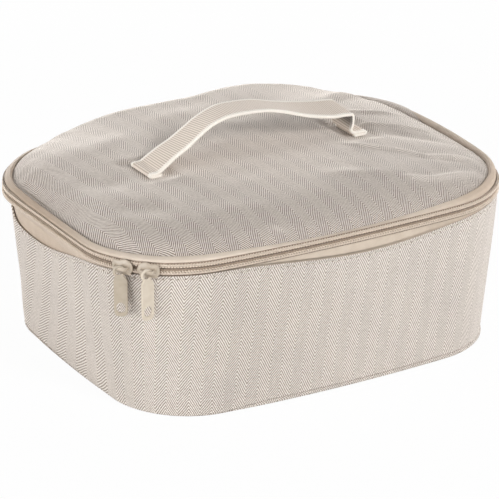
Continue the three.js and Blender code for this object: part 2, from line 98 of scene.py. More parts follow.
# plan outlines: two long bows, two side bows and four corners, tangent to each other
def planArcs(plan):
    longRadius = bowRadius(plan["halfWidth"], plan["frontBow"])
    sideRadius = bowRadius(plan["halfDepth"], plan["sideBow"])
    longCentre = np.array([0, plan["halfDepth"] - longRadius])
    sideCentre = np.array([plan["halfWidth"] - sideRadius, 0])
    between = sideCentre - longCentre
    span = np.linalg.norm(between)
    fromLong = longRadius - plan["corner"]
    fromSide = sideRadius - plan["corner"]
    along = (span ** 2 + fromLong ** 2 - fromSide ** 2) / (2 * span)
    across = math.sqrt(fromLong ** 2 - along ** 2)
    unit = between / span
    corner = longCentre + unit * along + np.array([unit[1], -unit[0]]) * across
    sideEnd = math.atan2(*(corner - sideCentre)[::-1])
    longEnd = math.atan2(*(corner - longCentre)[::-1])
    return {
        "centres": np.array([longCentre, corner, sideCentre]),
        "radii": np.array([longRadius, plan["corner"], sideRadius]),
        "sideEnd": sideEnd,
        "longEnd": longEnd,
    }


rimArcs = planArcs(bagPlan["rim"])
floorArcs = planArcs(bagPlan["floor"])
zipCorner = -rimArcs["centres"][1]  # centre of the front left corner


def planPoint(arcs, station):
    size, longEnd, cornerEnd = ringPlan["quarter"], ringPlan["longEnd"], ringPlan["cornerEnd"]
    s = wrapped(station)
    quarter = np.floor(s / size).astype(int)
    t = np.where(quarter % 2 == 0, s - size * quarter, size * (quarter + 1) - s)
    signX = np.where((quarter == 0) | (quarter == 1), -1.0, 1.0)
    signY = np.where((quarter == 0) | (quarter == 3), 1.0, -1.0)
    longTurn = np.pi / 2 + (arcs["longEnd"] - np.pi / 2) * t / longEnd
    cornerTurn = arcs["longEnd"] + (arcs["sideEnd"] - arcs["longEnd"]) * (t - longEnd) / (cornerEnd - longEnd)
    sideTurn = arcs["sideEnd"] * (size - t) / (size - cornerEnd)
    turn = np.where(t < longEnd, longTurn, np.where(t < cornerEnd, cornerTurn, sideTurn))
    arc = np.where(t < longEnd, 0, np.where(t < cornerEnd, 1, 2))
    normal = np.stack([np.cos(turn), np.sin(turn)], -1)
    point = arcs["centres"][arc] + normal * arcs["radii"][arc][..., None]
    sign = np.stack([signX, signY], -1)
    return point * sign, normal * sign


def flareShare(height):
    top = bagPlan["flareTop"]
    ease = bagPlan["flareEase"]
    straight = np.clip(height / top, 0, 1)
    bend = 1 - (top + ease - height) ** 2 / (4 * ease * top)
    return np.where(height < top - ease, straight, np.where(height > top + ease, 1.0, bend))


# the left side of the rim, and the lid's edge beside it, are drawn in a little
def leftPull(station, height):
    total = 0
    for pull in bagPlan["pulls"]:
        along = near(station, pull["station"], pull["reach"])
        total = total + pull["depth"] * along * smoothStep(pull["low"], pull["high"], height)
    return total


# along the front right the zip sits a little higher
def zipRise(station, height):
    rise = bagPlan["rise"]
    along = near(station, rise["station"], rise["reach"])
    return rise["height"] * along * smoothStep(*rise["from"], height) * smoothStep(*rise["to"], height)


# a point of the bag: station round the plan, inset from the zip line, height
def spot(station, inset, height):
    station, inset, height = np.broadcast_arrays(station, inset, height)
    share = flareShare(np.asarray(height, float))[..., None]
    low, lowNormal = planPoint(floorArcs, station)
    high, highNormal = planPoint(rimArcs, station)
    normal = lowNormal * (1 - share) + highNormal * share
    normal = normal / np.linalg.norm(normal, axis=-1, keepdims=True)
    zone = bagPlan["edgeZone"]
    flat = low * (1 - share) + high * share - normal * np.minimum(inset, zone)[..., None]
    flat = flat - normal * leftPull(station, height)[..., None]
    flat = flat * (1 - np.maximum(inset - zone, 0) / bagPlan["lidReach"])[..., None]
    return np.concatenate([flat, (height + zipRise(station, height))[..., None]], -1)


def outward(station):
    normal = planPoint(rimArcs, station)[1]
    return np.concatenate([normal, np.zeros(normal.shape[:-1] + (1,))], -1)


# how far a place on the plan faces right
def rightness(station):
    return np.clip(planPoint(rimArcs, station)[1][..., 0], 0, 1)


noiseStep = (17.3, 5.1, 9.7)  # one step for each seed keeps the noises apart


def softNoise(points, scale, seed):
    shift = Vector([seed * step for step in noiseStep])
    flat = np.asarray(points, float).reshape(-1, 3) / scale
    return np.array([noise.noise(Vector(p) + shift) for p in flat]).reshape(points.shape[:-1])


# soft unevenness in layers of scale, seed and height
def folds(points, *layers):
    return sum(softNoise(points, scale, seed) * height for scale, seed, height in layers)


def turned(x, y, degrees):
    angle = math.radians(degrees)
    return x * math.cos(angle) - y * math.sin(angle), x * math.sin(angle) + y * math.cos(angle)


# mesh helpers
def gridFaces(rows, columns, closed=False):
    r = np.arange(rows - 1)[:, None] * columns
    c = np.arange(columns if closed else columns - 1)[None, :]
    after = (c + 1) % columns
    quads = np.stack([r + c, r + after, r + columns + after, r + columns + c], -1)
    return quads.reshape(-1, 4).tolist()


def rowFace(row, columns):
    return [row * columns + k for k in range(columns)]


def flipped(faces):
    return [face[::-1] for face in faces]


def newPiece(name, points, faces, weave=None, merge=False, sharp=None):
    mesh = bpy.data.meshes.new(name)
    mesh.from_pydata((np.asarray(points, float).reshape(-1, 3) * mm).tolist(), [], faces)
    if weave is not None:
        flat = np.zeros((len(mesh.vertices), 3), np.float32)
        flat[:, : weave.shape[-1]] = weave.reshape(-1, weave.shape[-1])
        mesh.attributes.new("weave", "FLOAT_VECTOR", "POINT").data.foreach_set("vector", flat.ravel())
    if merge:
        build = bmesh.new()
        build.from_mesh(mesh)
        bmesh.ops.remove_doubles(build, verts=build.verts, dist=1e-6)  # metres
        bmesh.ops.recalc_face_normals(build, faces=build.faces)
        build.to_mesh(mesh)
        build.free()
    mesh.polygons.foreach_set("use_smooth", np.ones(len(mesh.polygons), bool))
    if sharp:
        mesh.set_sharp_from_angle(angle=math.radians(sharp))
    mesh.update()
    piece = bpy.data.objects.new(name, mesh)
    bpy.context.scene.collection.objects.link(piece)
    return piece


def joined(parts):
    points, faces, start = [], [], 0
    for partPoints, partFaces in parts:
        flat = np.asarray(partPoints, float).reshape(-1, 3)
        points.append(flat)
        faces.extend([[index + start for index in face] for face in partFaces])
        start += len(flat)
    return np.concatenate(points), faces


def finishPiece(piece, material, body, slot, *nodes):
    piece.data.materials.append(material)
    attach(piece, body)
    if nodes:
        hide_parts(*nodes)


# a smooth line through a few points
def throughPoints(points, count, steps=40):
    p = np.asarray(points, float)
    p = np.vstack([2 * p[0] - p[1], p, 2 * p[-1] - p[-2]])
    knots = np.concatenate([[0], np.cumsum(np.linalg.norm(np.diff(p, axis=0), axis=1) ** 0.5)])
    line = []
    for i in range(1, len(p) - 2):
        t0, t1, t2, t3 = knots[i - 1 : i + 3]
        t = np.linspace(t1, t2, steps, endpoint=i == len(p) - 3)[:, None]
        a1 = (t1 - t) / (t1 - t0) * p[i - 1] + (t - t0) / (t1 - t0) * p[i]
        a2 = (t2 - t) / (t2 - t1) * p[i] + (t - t1) / (t2 - t1) * p[i + 1]
        a3 = (t3 - t) / (t3 - t2) * p[i + 1] + (t - t2) / (t3 - t2) * p[i + 2]
        b1 = (t2 - t) / (t2 - t0) * a1 + (t - t0) / (t2 - t0) * a2
        b2 = (t3 - t) / (t3 - t1) * a2 + (t - t1) / (t3 - t1) * a3
        line.append((t2 - t) / (t2 - t1) * b1 + (t - t1) / (t2 - t1) * b2)
    return evenly(np.concatenate(line), count)


def lengthAlong(line):
    return np.concatenate([[0], np.cumsum(np.linalg.norm(np.diff(line, axis=0), axis=1))])


def alongLine(values, passed, where):
    return np.stack([np.interp(where, passed, values[:, k]) for k in range(values.shape[1])], -1)


def evenly(line, count):
    passed = lengthAlong(line)
    return alongLine(line, passed, np.linspace(0, passed[-1], count))


def unitRows(rows):
    return rows / np.maximum(np.linalg.norm(rows, axis=-1, keepdims=True), 1e-9)


# unit circles in the planes of two rows of directions
def circles(first, second, sides):
    turn = np.linspace(0, 2 * np.pi, sides, endpoint=False)
    return first[:, None] * np.cos(turn)[None, :, None] + second[:, None] * np.sin(turn)[None, :, None]


# a power below 1 draws a circle out towards a square
def squared(value, power):
    return np.sign(value) * np.abs(value) ** power


# a rounded bar swept along a line, with its width held to a given direction
def barAlong(line, side, halfWidth, halfThick, sides=14, squareness=0.55):
    line = np.asarray(line, float)
    tangent = unitRows(np.gradient(line, axis=0))
    side = np.broadcast_to(np.asarray(side, float), line.shape)
    normal = unitRows(np.cross(side, tangent))
    turn = np.linspace(0, 2 * np.pi, sides, endpoint=False)
    wide = squared(np.cos(turn), squareness) * halfWidth
    thick = squared(np.sin(turn), squareness) * halfThick
    points = line[:, None] + side[:, None] * wide[None, :, None] + normal[:, None] * thick[None, :, None]
    faces = gridFaces(len(line), sides, True)
    faces.append(rowFace(0, sides))
    faces.append(rowFace(len(line) - 1, sides)[::-1])
    return points.reshape(-1, 3), faces


# a flat plate with rounded edges, cut from outlines in its own plane
def plateFrom(outlines, low, high, rounding):
    curve = bpy.data.curves.new("plate", "CURVE")
    curve.dimensions = "2D"
    curve.fill_mode = "BOTH"
    curve.extrude = (high - low) / 2 - rounding
    curve.bevel_depth = rounding
    curve.bevel_resolution = 3
    curve.offset = -rounding
    for outline in outlines:
        spline = curve.splines.new("POLY")
        spline.points.add(len(outline) - 1)
        spline.points.foreach_set("co", np.array([[x, y, 0, 1] for x, y in outline]).ravel())
        spline.use_cyclic_u = True
    holder = bpy.data.objects.new("plate", curve)
    bpy.context.scene.collection.objects.link(holder)
    seen = holder.evaluated_get(bpy.context.evaluated_depsgraph_get())
    mesh = bpy.data.meshes.new_from_object(seen)
    points = np.array([v.co for v in mesh.vertices], float) + np.array([0, 0, (low + high) / 2])
    faces = [list(p.vertices) for p in mesh.polygons]
    bpy.data.objects.remove(holder)
    bpy.data.curves.remove(curve)
    bpy.data.meshes.remove(mesh)
    return points, faces


# one stitch: places along it, how full it is there and how far it stands out, in shares
stitchForm = {
    "along": np.array([0, 0.12, 0.35, 0.65, 0.88, 1]),
    "full": np.array([0.35, 0.8, 1, 1, 0.8, 0.35]),
    "out": np.array([-0.9, -0.1, 0.35, 0.35, -0.1, -0.9]),
    "sides": 6,
}


# a row of thread stitches laid along a line on a surface
def stitchRow(line, normal, settings, passed=None):
    line = np.asarray(line, float)
    passed = lengthAlong(line) if passed is None else passed
    normal = np.broadcast_to(np.asarray(normal, float), line.shape)
    length, gap, radius = settings["length"], settings["gap"], settings["radius"]
    sides = stitchForm["sides"]
    rings = len(stitchForm["along"])
    faces = gridFaces(rings, sides, True) + [rowFace(0, sides)[::-1], rowFace(rings - 1, sides)]
    parts = []
    for start in np.arange(gap, passed[-1] - length, length + gap):
        where = start + stitchForm["along"] * length
        up = unitRows(alongLine(normal, passed, where))
        middle = alongLine(line, passed, where) + up * (stitchForm["out"] * radius)[:, None]
        along = unitRows(np.gradient(middle, axis=0))
        across = unitRows(np.cross(up, along))
        points = middle[:, None] + circles(across, up, sides) * (stitchForm["full"] * radius)[:, None, None]
        parts.append((points, faces))
    return joined(parts)


# finishes
def linearShare(level):
    c = level / 255
    return c / 12.92 if c <= 0.04045 else ((c + 0.055) / 1.055) ** 2.4


def tone(red, green, blue):
    return (linearShare(red), linearShare(green), linearShare(blue), 1)


class Finish:
    def __init__(self, name, **sockets):
        self.material = bpy.data.materials.new(name)
        self.material.use_nodes = True
        self.tree = self.material.node_tree
        self.tree.nodes.clear()
        self.shader = self.add("ShaderNodeBsdfPrincipled")
        out = self.add("ShaderNodeOutputMaterial")
        self.join(self.shader.outputs["BSDF"], out.inputs["Surface"])
        for socket, value in sockets.items():
            self.shader.inputs[socket.replace("_", " ")].default_value = value

    def add(self, kind, **settings):
        node = self.tree.nodes.new(kind)
        for name, value in settings.items():
            setattr(node, name, value)
        return node

    def join(self, source, target):
        if isinstance(source, bpy.types.NodeSocket):
            self.tree.links.new(source, target)
        else:
            target.default_value = source

    def math(self, operation, *values):
        node = self.add("ShaderNodeMath", operation=operation)
        for index, value in enumerate(values):
            self.join(value, node.inputs[index])
        return node.outputs[0]

    # a cloth's own measure: across, along, and in the third place a share of painted light or painted shade
    def woven(self):
        place = self.add("ShaderNodeAttribute", attribute_name="weave").outputs["Vector"]
        parts = self.add("ShaderNodeSeparateXYZ")
        self.join(place, parts.inputs[0])
        return place, parts.outputs["X"], parts.outputs["Y"], parts.outputs["Z"]

    def solid(self):
        return self.add("ShaderNodeTexCoord").outputs["Object"]

    def noise(self, where, scale, detail=2.0, rough=0.5):
        node = self.add("ShaderNodeTexNoise")
        self.join(where, node.inputs["Vector"])
        node.inputs["Scale"].default_value = scale
        node.inputs["Detail"].default_value = detail
        node.inputs["Roughness"].default_value = rough
        return node.outputs["Fac"]

    def ramp(self, value, low, high, toLow=0.0, toHigh=1.0, soft=False):
        node = self.add("ShaderNodeMapRange")
        node.interpolation_type = "SMOOTHSTEP" if soft else "LINEAR"
        self.join(value, node.inputs[0])
        for index, number in enumerate((low, high, toLow, toHigh)):
            node.inputs[index + 1].default_value = number
        return node.outputs[0]

    def mix(self, share, first, second, blend="MIX"):
        node = self.add("ShaderNodeMix", data_type="RGBA", blend_type=blend)
        self.join(share, node.inputs[0])
        self.join(first, node.inputs[6])
        self.join(second, node.inputs[7])
        return node.outputs[2]

    def wave(self, value, turn):
        return self.math("SINE", self.math("MULTIPLY", value, turn))

    def mottle(self, where, scale, detail, toLow=0.0, toHigh=1.0):
        return self.ramp(self.noise(where, scale, detail), 0.3, 0.7, toLow, toHigh)

    def bump(self, height, strength, distance):
        node = self.add("ShaderNodeBump")
        node.inputs["Strength"].default_value = strength
        node.inputs["Distance"].default_value = distance
        self.join(height, node.inputs["Height"])
        self.join(node.outputs["Normal"], self.shader.inputs["Normal"])

    def colour(self, value):
        self.join(value, self.shader.inputs["Base Color"])

    def rough(self, value):
        self.join(value, self.shader.inputs["Roughness"])


# herringbone: column, line and yarn repeats in millimetres, then how uneven the cloth is and how strongly
# painted light lifts it
twill = {
    "column": 7.5,
    "repeat": 2.24,
    "yarn": 0.59,
    "drift": 0.35,
    "wander": 0.3,
    "slub": 0.3,
    "fleck": 0.22,
    "lineDepth": 0.92,
    # strength of the painted light that the third place brings
    "paintedLight": 0.45,
    "patch": (0.94, 0.94, 0.95, 1),
    "sheenTint": (1, 0.93, 0.86, 1),
}
# the lid's cloth is the wall's cloth in darker tones: painted shade, as the lid takes less light
clothLooks = {
    "wallCloth": {
        "light": (237, 229, 221),
        "dark": (148, 136, 125),
        "slope": 1.48,
        "stripe": 0.955,
        "sheen": 0.35,
    },
    "shadedLidCloth": {
        "light": (228, 219, 210),
        "dark": (124, 110, 100),
        "slope": 1.62,
        "stripe": 0.94,
        "sheen": 0.6,
    },
}


def herringbone(name, light, dark, slope, stripe, sheen):
    tint = twill["sheenTint"]
    f = Finish(name, Sheen_Weight=sheen, Sheen_Roughness=0.5, Sheen_Tint=tint, Specular_IOR_Level=0.25)
    place, u, v, paintedLightShare = f.woven()
    drift, wander, slub = twill["drift"], twill["wander"], twill["slub"]
    u = f.math("ADD", u, f.ramp(f.noise(place, 0.09, 2), 0.25, 0.75, -drift, drift))
    v = f.math("ADD", v, f.ramp(f.noise(place, 0.13, 2), 0.25, 0.75, -wander, wander))
    zigzag = f.math("PINGPONG", u, twill["column"])
    phase = f.math("DIVIDE", f.math("ADD", v, f.math("MULTIPLY", zigzag, slope)), twill["repeat"])
    uneven = f.math("ADD", f.wave(phase, 2 * math.pi), f.mottle(place, 0.5, 3, -slub, slub))
    line = f.ramp(uneven, -0.55, 0.75, soft=True)
    yarnTurn = 2 * math.pi / twill["yarn"]
    yarn = f.math("MULTIPLY", f.wave(u, yarnTurn), f.wave(v, yarnTurn))
    fleck = f.ramp(f.noise(place, 2.2, 2), 0.35, 0.7, 0.0, twill["fleck"])
    shade = f.math("ADD", f.math("MULTIPLY", line, twill["lineDepth"]), fleck)
    cloth = f.mix(shade, tone(*light), tone(*dark))
    # painted shade: the two twill directions take the light a little differently, so every other column is
    # painted darker by the stripe share
    side = f.ramp(f.wave(u, math.pi / twill["column"]), -0.2, 0.2, soft=True)
    cloth = f.mix(1.0, cloth, f.mix(side, (stripe, stripe, stripe, 1), (1, 1, 1, 1)), "MULTIPLY")
    cloth = f.mix(f.math("MULTIPLY", paintedLightShare, twill["paintedLight"]), cloth, tone(*light))  # painted light: paler by the share in the third place
    f.colour(f.mix(f.mottle(place, 0.03, 3), cloth, f.mix(1.0, cloth, twill["patch"], "MULTIPLY")))
    f.rough(f.ramp(line, 0, 1, 0.86, 0.95))
    f.bump(f.math("ADD", f.math("MULTIPLY", line, -0.6), f.math("MULTIPLY", yarn, 0.2)), 0.5, 0.00025)
    return f.material


wallCloth, shadedLidCloth = [herringbone(name, **look) for name, look in clothLooks.items()]

# plain woven tape: thread and weft repeats, and the colour of its painted shade
tapeLook = {"thread": 0.45, "weft": 0.63, "paintedShade": (140, 110, 80)}
tapeColours = {
    "tapeCloth": {"light": (216, 202, 186), "dark": (200, 184, 167), "sheen": 0.2},
    "bandCloth": {"light": (225, 211, 196), "dark": (210, 195, 179), "sheen": 0.1},
    "bindingCloth": {"light": (214, 200, 182), "dark": (196, 180, 160), "sheen": 0.15},
}


def tapeFinish(name, light, dark, sheen):
    f = Finish(name, Sheen_Weight=sheen, Sheen_Roughness=0.4, Specular_IOR_Level=0.3)
    place, u, v, paintedShade = f.woven()
    warp = f.wave(v, 2 * math.pi / tapeLook["thread"])
    weft = f.wave(u, 2 * math.pi / tapeLook["weft"])
    over = f.math("MULTIPLY", warp, weft)
    mottle = f.mottle(place, 0.12, 3)
    shade = f.math("ADD", f.math("MULTIPLY", mottle, 0.6), f.ramp(over, -1, 1, 0.0, 0.4))
    # painted shade: the clean tape is mixed towards the shade colour by the share in the third place
    f.colour(f.mix(paintedShade, f.mix(shade, tone(*light), tone(*dark)), tone(*tapeLook["paintedShade"])))
    f.rough(f.ramp(over, -1, 1, 0.9, 0.76))
    f.bump(f.math("ADD", f.math("MULTIPLY", over, 0.5), f.math("MULTIPLY", mottle, 0.5)), 0.4, 0.00018)
    return f.material


tapeCloth, bandCloth, bindingCloth = [tapeFinish(name, **look) for name, look in tapeColours.items()]

nylonColours = {
    "coilNylon": {"light": (226, 211, 195), "dark": (204, 187, 170)},
    "coilThread": {"light": (206, 190, 175), "dark": (191, 175, 159)},
    "coreCord": {"light": (158, 141, 124), "dark": (134, 118, 103)},
    # painted shade for the shadowed needle holes
    "needleHoleShade": {"light": (132, 112, 94), "dark": (108, 90, 74)},
    "stitchThread": {"light": (222, 213, 203), "dark": (190, 178, 166)},
}


def nylonFinish(name, light, dark):
    f = Finish(name, Specular_IOR_Level=0.4)
    shade = f.mottle(f.solid(), 900, 2)
    f.colour(f.mix(shade, tone(*light), tone(*dark)))
    f.rough(f.ramp(shade, 0, 1, 0.42, 0.6))
    f.bump(shade, 0.2, 0.0001)
    return f.material


nylons = {name: nylonFinish(name, **look) for name, look in nylonColours.items()}

webbingLook = {
    "rib": 1.55,
    "selvedge": 10.1,
    "grain": 0.8,
    "tan": (240, 228, 216),
    "shade": (184, 168, 152),
    "cream": (250, 244, 235),
    "creamShade": (222, 211, 197),
}


def webbingFinish():
    f = Finish("strapWebbing", Sheen_Weight=0.2, Sheen_Roughness=0.45, Specular_IOR_Level=0.25)
    place, across, along, paintedUnderShade = f.woven()
    selvedge = webbingLook["selvedge"]
    shade = tone(*webbingLook["shade"])
    # painted shade: the valleys between the ribs are darkened towards the shade colour
    valley = f.math("ABSOLUTE", f.wave(along, math.pi / webbingLook["rib"]))
    groove = f.ramp(valley, 0.1, 0.9, 1.0, 0.0, soft=True)
    fibre = f.mottle(place, 1.6, 3)
    grain = f.wave(across, 2 * math.pi / webbingLook["grain"])
    tan = f.mix(groove, tone(*webbingLook["tan"]), shade)
    tan = f.mix(f.math("MULTIPLY", fibre, 0.25), tan, shade)
    creamShade = tone(*webbingLook["creamShade"])
    cream = f.mix(f.math("MULTIPLY", fibre, 0.35), tone(*webbingLook["cream"]), creamShade)
    edge = f.ramp(f.math("ABSOLUTE", across), selvedge - 0.25, selvedge + 0.25)
    # painted shade: the underside is darkened towards black by the share in the third place
    f.colour(f.mix(paintedUnderShade, f.mix(edge, tan, cream), (0, 0, 0, 1)))
    f.rough(f.ramp(fibre, 0, 1, 0.82, 0.94))
    f.bump(f.math("ADD", f.math("MULTIPLY", grain, 0.25), fibre), 0.35, 0.0002)
    return f.material


strapWebbing = webbingFinish()

# the sliders and the left puller take darker copies of the right puller's paint: painted shade
paintColours = {
    "zipPaint": {"paint": (211, 199, 182), "shade": (202, 189, 171)},
    "shadedPaint": {"paint": (178, 166, 149), "shade": (170, 157, 139)},
    "shadedSliderPaint": {"paint": (184, 171, 154), "shade": (176, 162, 145)},
}


def paintFinish(name, paint, shade):
    f = Finish(name, Metallic=0.0, Coat_Weight=0.35, Coat_Roughness=0.3, Specular_IOR_Level=0.5)
    where = f.solid()
    f.colour(f.mix(f.mottle(where, 260, 3), tone(*paint), tone(*shade)))
    f.rough(f.mottle(where, 700, 2, 0.36, 0.5))
    f.bump(f.noise(where, 1500, 2), 0.08, 0.0002)
    return f.material


zipPaint, shadedPaint, shadedSliderPaint = [paintFinish(name, **look) for name, look in paintColours.items()]

foilLook = {"metal": 0.35, "pale": (196, 199, 203), "dull": (172, 176, 181)}


def foilFinish():
    f = Finish("linerFoil", Metallic=foilLook["metal"], Specular_IOR_Level=0.5)
    place, u, v = f.woven()[:3]
    rising = f.math("SINE", f.math("ADD", u, v))
    falling = f.math("SINE", f.math("SUBTRACT", u, v))
    diamond = f.math("MULTIPLY", rising, falling)
    crease = f.noise(place, 0.12, 4, 0.6)
    f.colour(f.mix(f.ramp(crease, 0.3, 0.7), tone(*foilLook["pale"]), tone(*foilLook["dull"])))
    f.rough(f.ramp(crease, 0.3, 0.7, 0.5, 0.64))
    f.bump(f.math("ADD", f.math("MULTIPLY", diamond, 0.12), crease), 0.45, 0.0011)
    return f.material


linerFoil = foilFinish()
print("finishes mixed")

# outer wall: one panel round the front and the sides, with its top edge folded in below the zip
wallPanel = {
    "first": 4.0,
    "last": 44.0,
    "columns": 900,
    "rows": 62,
    "outer": -0.9,
    "thickness": 1.2,
    "low": 3.6,
    "foot": 0.7,
    "roll": 0.3,
    "lipFrom": (19.2, 21.6),
    "lipTo": (48.5, 46),
    "frontDip": 7.2,
    "frontCentre": 18,
    "frontReach": 105,
    "frontEdge": -57,
    "sideDip": 10.4,
    "sideCentre": 28,
    "sideReach": 84,
    "leftDip": 16,
    "leftCentre": 36,
    "leftReach": 108,
    "leftHalf": 140,
    "edgeDrop": 4.65,
    "leftTuck": 6.2,
    "tuckFold": 0.55,
    "tuckRise": (-40, 75),
    "groove": 0.35,
    "grooveDrop": 2.3,
    "grooveWidth": 1.1,
    "pit": 0.75,
    "pitLong": 0.75,
    "pitWide": 0.8,
    "swell": 1.0,
    "ripple": 0.5,
    "folds": ((46, 3, 0.7), (19, 5, 0.3)),
    "sag": 0.45,
    "lean": 6.5,
    "weaveLevel": 55.0,
    "taper": 0.000315,
    "stretch": 0.4,
    # shares of painted light on the wall's cloth: front, right side, left side
    "frontPaintedLight": 0.03,
    "rightPaintedLight": 0.27,
    "leftPaintedLight": 0.1,
}


def foldHeight(station):
    w = wallPanel
    place = spot(station, 0, zipHeight)
    x, y = place[..., 0], place[..., 1]
    front = np.where(y < w["frontEdge"], w["frontDip"] * bell(x - w["frontCentre"], w["frontReach"]), 0)
    right = w["sideDip"] * bell(y - w["sideCentre"], w["sideReach"])
    left = w["leftDip"] * bell(y - w["leftCentre"], w["leftReach"])
    toSide = np.abs(x) / np.where(x > 0, bagPlan["rim"]["halfWidth"], w["leftHalf"])
    drop = w["edgeDrop"] + front + np.where(x > 0, right, left) * np.minimum(toSide, 1) ** 3
    return zipHeight - drop - w["tuckFold"] * tuckAt(station)


# the left side is tucked in under the zip
def tuckAt(station):
    w = wallPanel
    place = spot(station, 0, zipHeight)
    left = np.clip(-place[..., 0] / bagPlan["rim"]["halfWidth"], 0, 1) ** 3
    return w["leftTuck"] * left * bell(place[..., 1] - w["leftCentre"], w["leftReach"])


def tuckUpTo(station, height):
    return tuckAt(station) * smoothStep(*wallPanel["tuckRise"], height)


# thread: a row below the wall's folded edge, rows across the strap ends, rows beside the hinge, and dark
# dashes of painted shade at the needle holes
threadRows = {
    "edge": {"length": 3.4, "gap": 1.0, "radius": 0.22},
    "strap": {"length": 2.0, "gap": 0.8, "radius": 0.24},
    "hinge": {"length": 3.0, "gap": 1.0, "radius": 0.22},
    "holes": {"length": 1.0, "gap": 3.4, "radius": 0.36},
}
edgeStations = np.linspace(4.2, 43.8, 1600)
edgeRow = foldHeight(edgeStations) - wallPanel["grooveDrop"]
edgePassed = lengthAlong(spot(edgeStations, wallPanel["outer"], edgeRow))


# each stitch dives into a small pit
def stitchPits(station, below):
    thread = threadRows["edge"]
    pitch = thread["length"] + thread["gap"]
    along = np.interp(station, edgeStations, edgePassed) - thread["gap"] / 2
    fromPit = (np.mod(along + pitch / 2, pitch) - pitch / 2) / wallPanel["pitLong"]
    fromRow = (below - wallPanel["grooveDrop"]) / wallPanel["pitWide"]
    return np.exp(-(fromPit ** 2) - fromRow ** 2)


def wallGive(station, height, place):
    w = wallPanel
    top = foldHeight(station)
    below = top - height
    inside = smoothStep(4, 16, height) * smoothStep(0, 14, below)
    ripple = folds(place, *w["folds"]) * w["ripple"] * inside
    belly = w["sag"] * np.sin(np.pi * np.clip(height / top, 0, 1))
    groove = w["groove"] * np.exp(-(((below - w["grooveDrop"]) / w["grooveWidth"]) ** 2))
    groove = groove + w["pit"] * stitchPits(station, below)
    foot = w["swell"] * smoothStep(34, 2, height) * (1 - rightness(station))
    return ripple + belly + foot - groove - tuckUpTo(station, height)


ringStations = np.linspace(0, ringEnd, 961)
ringPassed = lengthAlong(spot(ringStations, 0, wallPanel["weaveLevel"])[:, :2])
# the cloth is drawn wider on the left side
stretch = 1 - wallPanel["stretch"] * smoothStep(16.2, 12.8, ringStations) * smoothStep(3.5, 7, ringStations)
weavePassed = np.concatenate([[0], np.cumsum(np.diff(ringPassed) * (stretch[1:] + stretch[:-1]) / 2)])


# on the front and right the base's turned-up edge shows; on the left the wall rolls over it
def lipShare(station):
    s = wrapped(station)
    return smoothStep(*wallPanel["lipFrom"], s) * smoothStep(*wallPanel["lipTo"], s)


def weaveOnWall(station, height):
    passed = np.interp(wrapped(station), ringStations, weavePassed) + weavePassed[-1] * (station >= ringEnd)
    passed = passed - np.interp(ringEnd / 2, ringStations, weavePassed)
    across = passed * (1 + wallPanel["taper"] * (height - wallPanel["weaveLevel"]))
    return np.stack(turned(across, height, wallPanel["lean"]), -1)


# a weave with its third place filled
def withThird(weave, third):
    return np.concatenate([weave, np.broadcast_to(third, weave.shape[:-1])[..., None]], -1)


def panelStations(first, last, count):
    ends = np.array([0, 0.02, 0.045, 0.08, 0.12])
    middle = np.linspace(first + 0.17, last - 0.17, count)
    return np.concatenate([first + ends, middle, (last - ends)[::-1]])


# a panel's ends turn in at the seams
def endTurn(station, first, last):
    fromEnd = np.minimum(station - first, last - station)
    return 3.0 * (1 - np.clip(fromEnd / 0.13, 0, 1)) ** 2.5


def wallSheet(panel, topAt, give):
    w = wallPanel
    first, last = panel["first"], panel["last"]
    stations = panelStations(first, last, panel["columns"])
    outer = w["outer"]
    half = w["thickness"] / 2
    top = topAt(stations)
    lip = lipShare(stations)
    low = w["foot"] + (w["low"] - w["foot"]) * lip
    roll = w["roll"] * (1 - lip)
    insets, heights = [], []
    for inset, share in ((2.2, 0.61), (0.8, 0.75), (-0.2, 0.86)):
        insets.append(inset + roll)
        heights.append(low * share)
    for share in 1 - (1 - np.linspace(0, 1, w["rows"]) ** 1.35) ** 1.5:
        heights.append(low + (top - half - low) * share)
        insets.append(outer + roll * np.clip(1 - (heights[-1] - w["foot"]) / 7, 0, 1) ** 2)
    for turn in np.radians([150, 120, 90, 60, 30, 0]):
        insets.append(np.full_like(stations, outer + half + math.cos(turn) * half))
        heights.append(top - half + math.sin(turn) * half)
    for drop in (3, 9):
        insets.append(np.full_like(stations, outer + w["thickness"]))
        heights.append(top - half - drop)
    insets = np.array(insets) + endTurn(stations, first, last)
    heights = np.array(heights)
    grid = np.broadcast_to(stations, heights.shape)
    base = spot(grid, insets, heights)
    points = base + outward(grid) * give(grid, np.minimum(heights, top), base)[..., None]
    return points, weaveOnWall(grid, heights), stations


wallPoints, wallWeave, wallStations = wallSheet(wallPanel, foldHeight, wallGive)
# painted light: the wall's cloth is painted a little paler from the left side round the front, paler along
# the right side fading out towards the back right, and a little paler on the left side
wallPaintedLight = wallPanel["frontPaintedLight"] * smoothStep(12, 17, wallStations)
wallPaintedLight = wallPaintedLight + wallPanel["rightPaintedLight"] * smoothStep(20.5, 25.5, wallStations)
wallPaintedLight = wallPaintedLight * smoothStep(40, 33, wallStations) + wallPanel["leftPaintedLight"] * near(wallStations, 10, 4)
wallWeave = withThird(wallWeave, wallPaintedLight)
outerWall = newPiece("outerWall", wallPoints, gridFaces(*wallPoints.shape[:2]), wallWeave)
finishPiece(outerWall, wallCloth, "bag", "weave", "outer_wall", "side_foam")

# back panel, up to the hinge
backPanel = {"first": 44.0, "last": 52.0, "columns": 150, "top": 94.6, "folds": (50, 8, 0.35)}


def backTop(station):
    return np.full_like(station, backPanel["top"])


def backGive(station, height, place):
    inside = smoothStep(4, 16, height) * smoothStep(0, 12, backPanel["top"] - height)
    return folds(place, backPanel["folds"]) * inside


backPoints, backWeave = wallSheet(backPanel, backTop, backGive)[:2]
backCloth = newPiece("backPanel", backPoints, gridFaces(*backPoints.shape[:2]), backWeave)
finishPiece(backCloth, wallCloth, "bag", "weave", "back_panel", "back_foam")

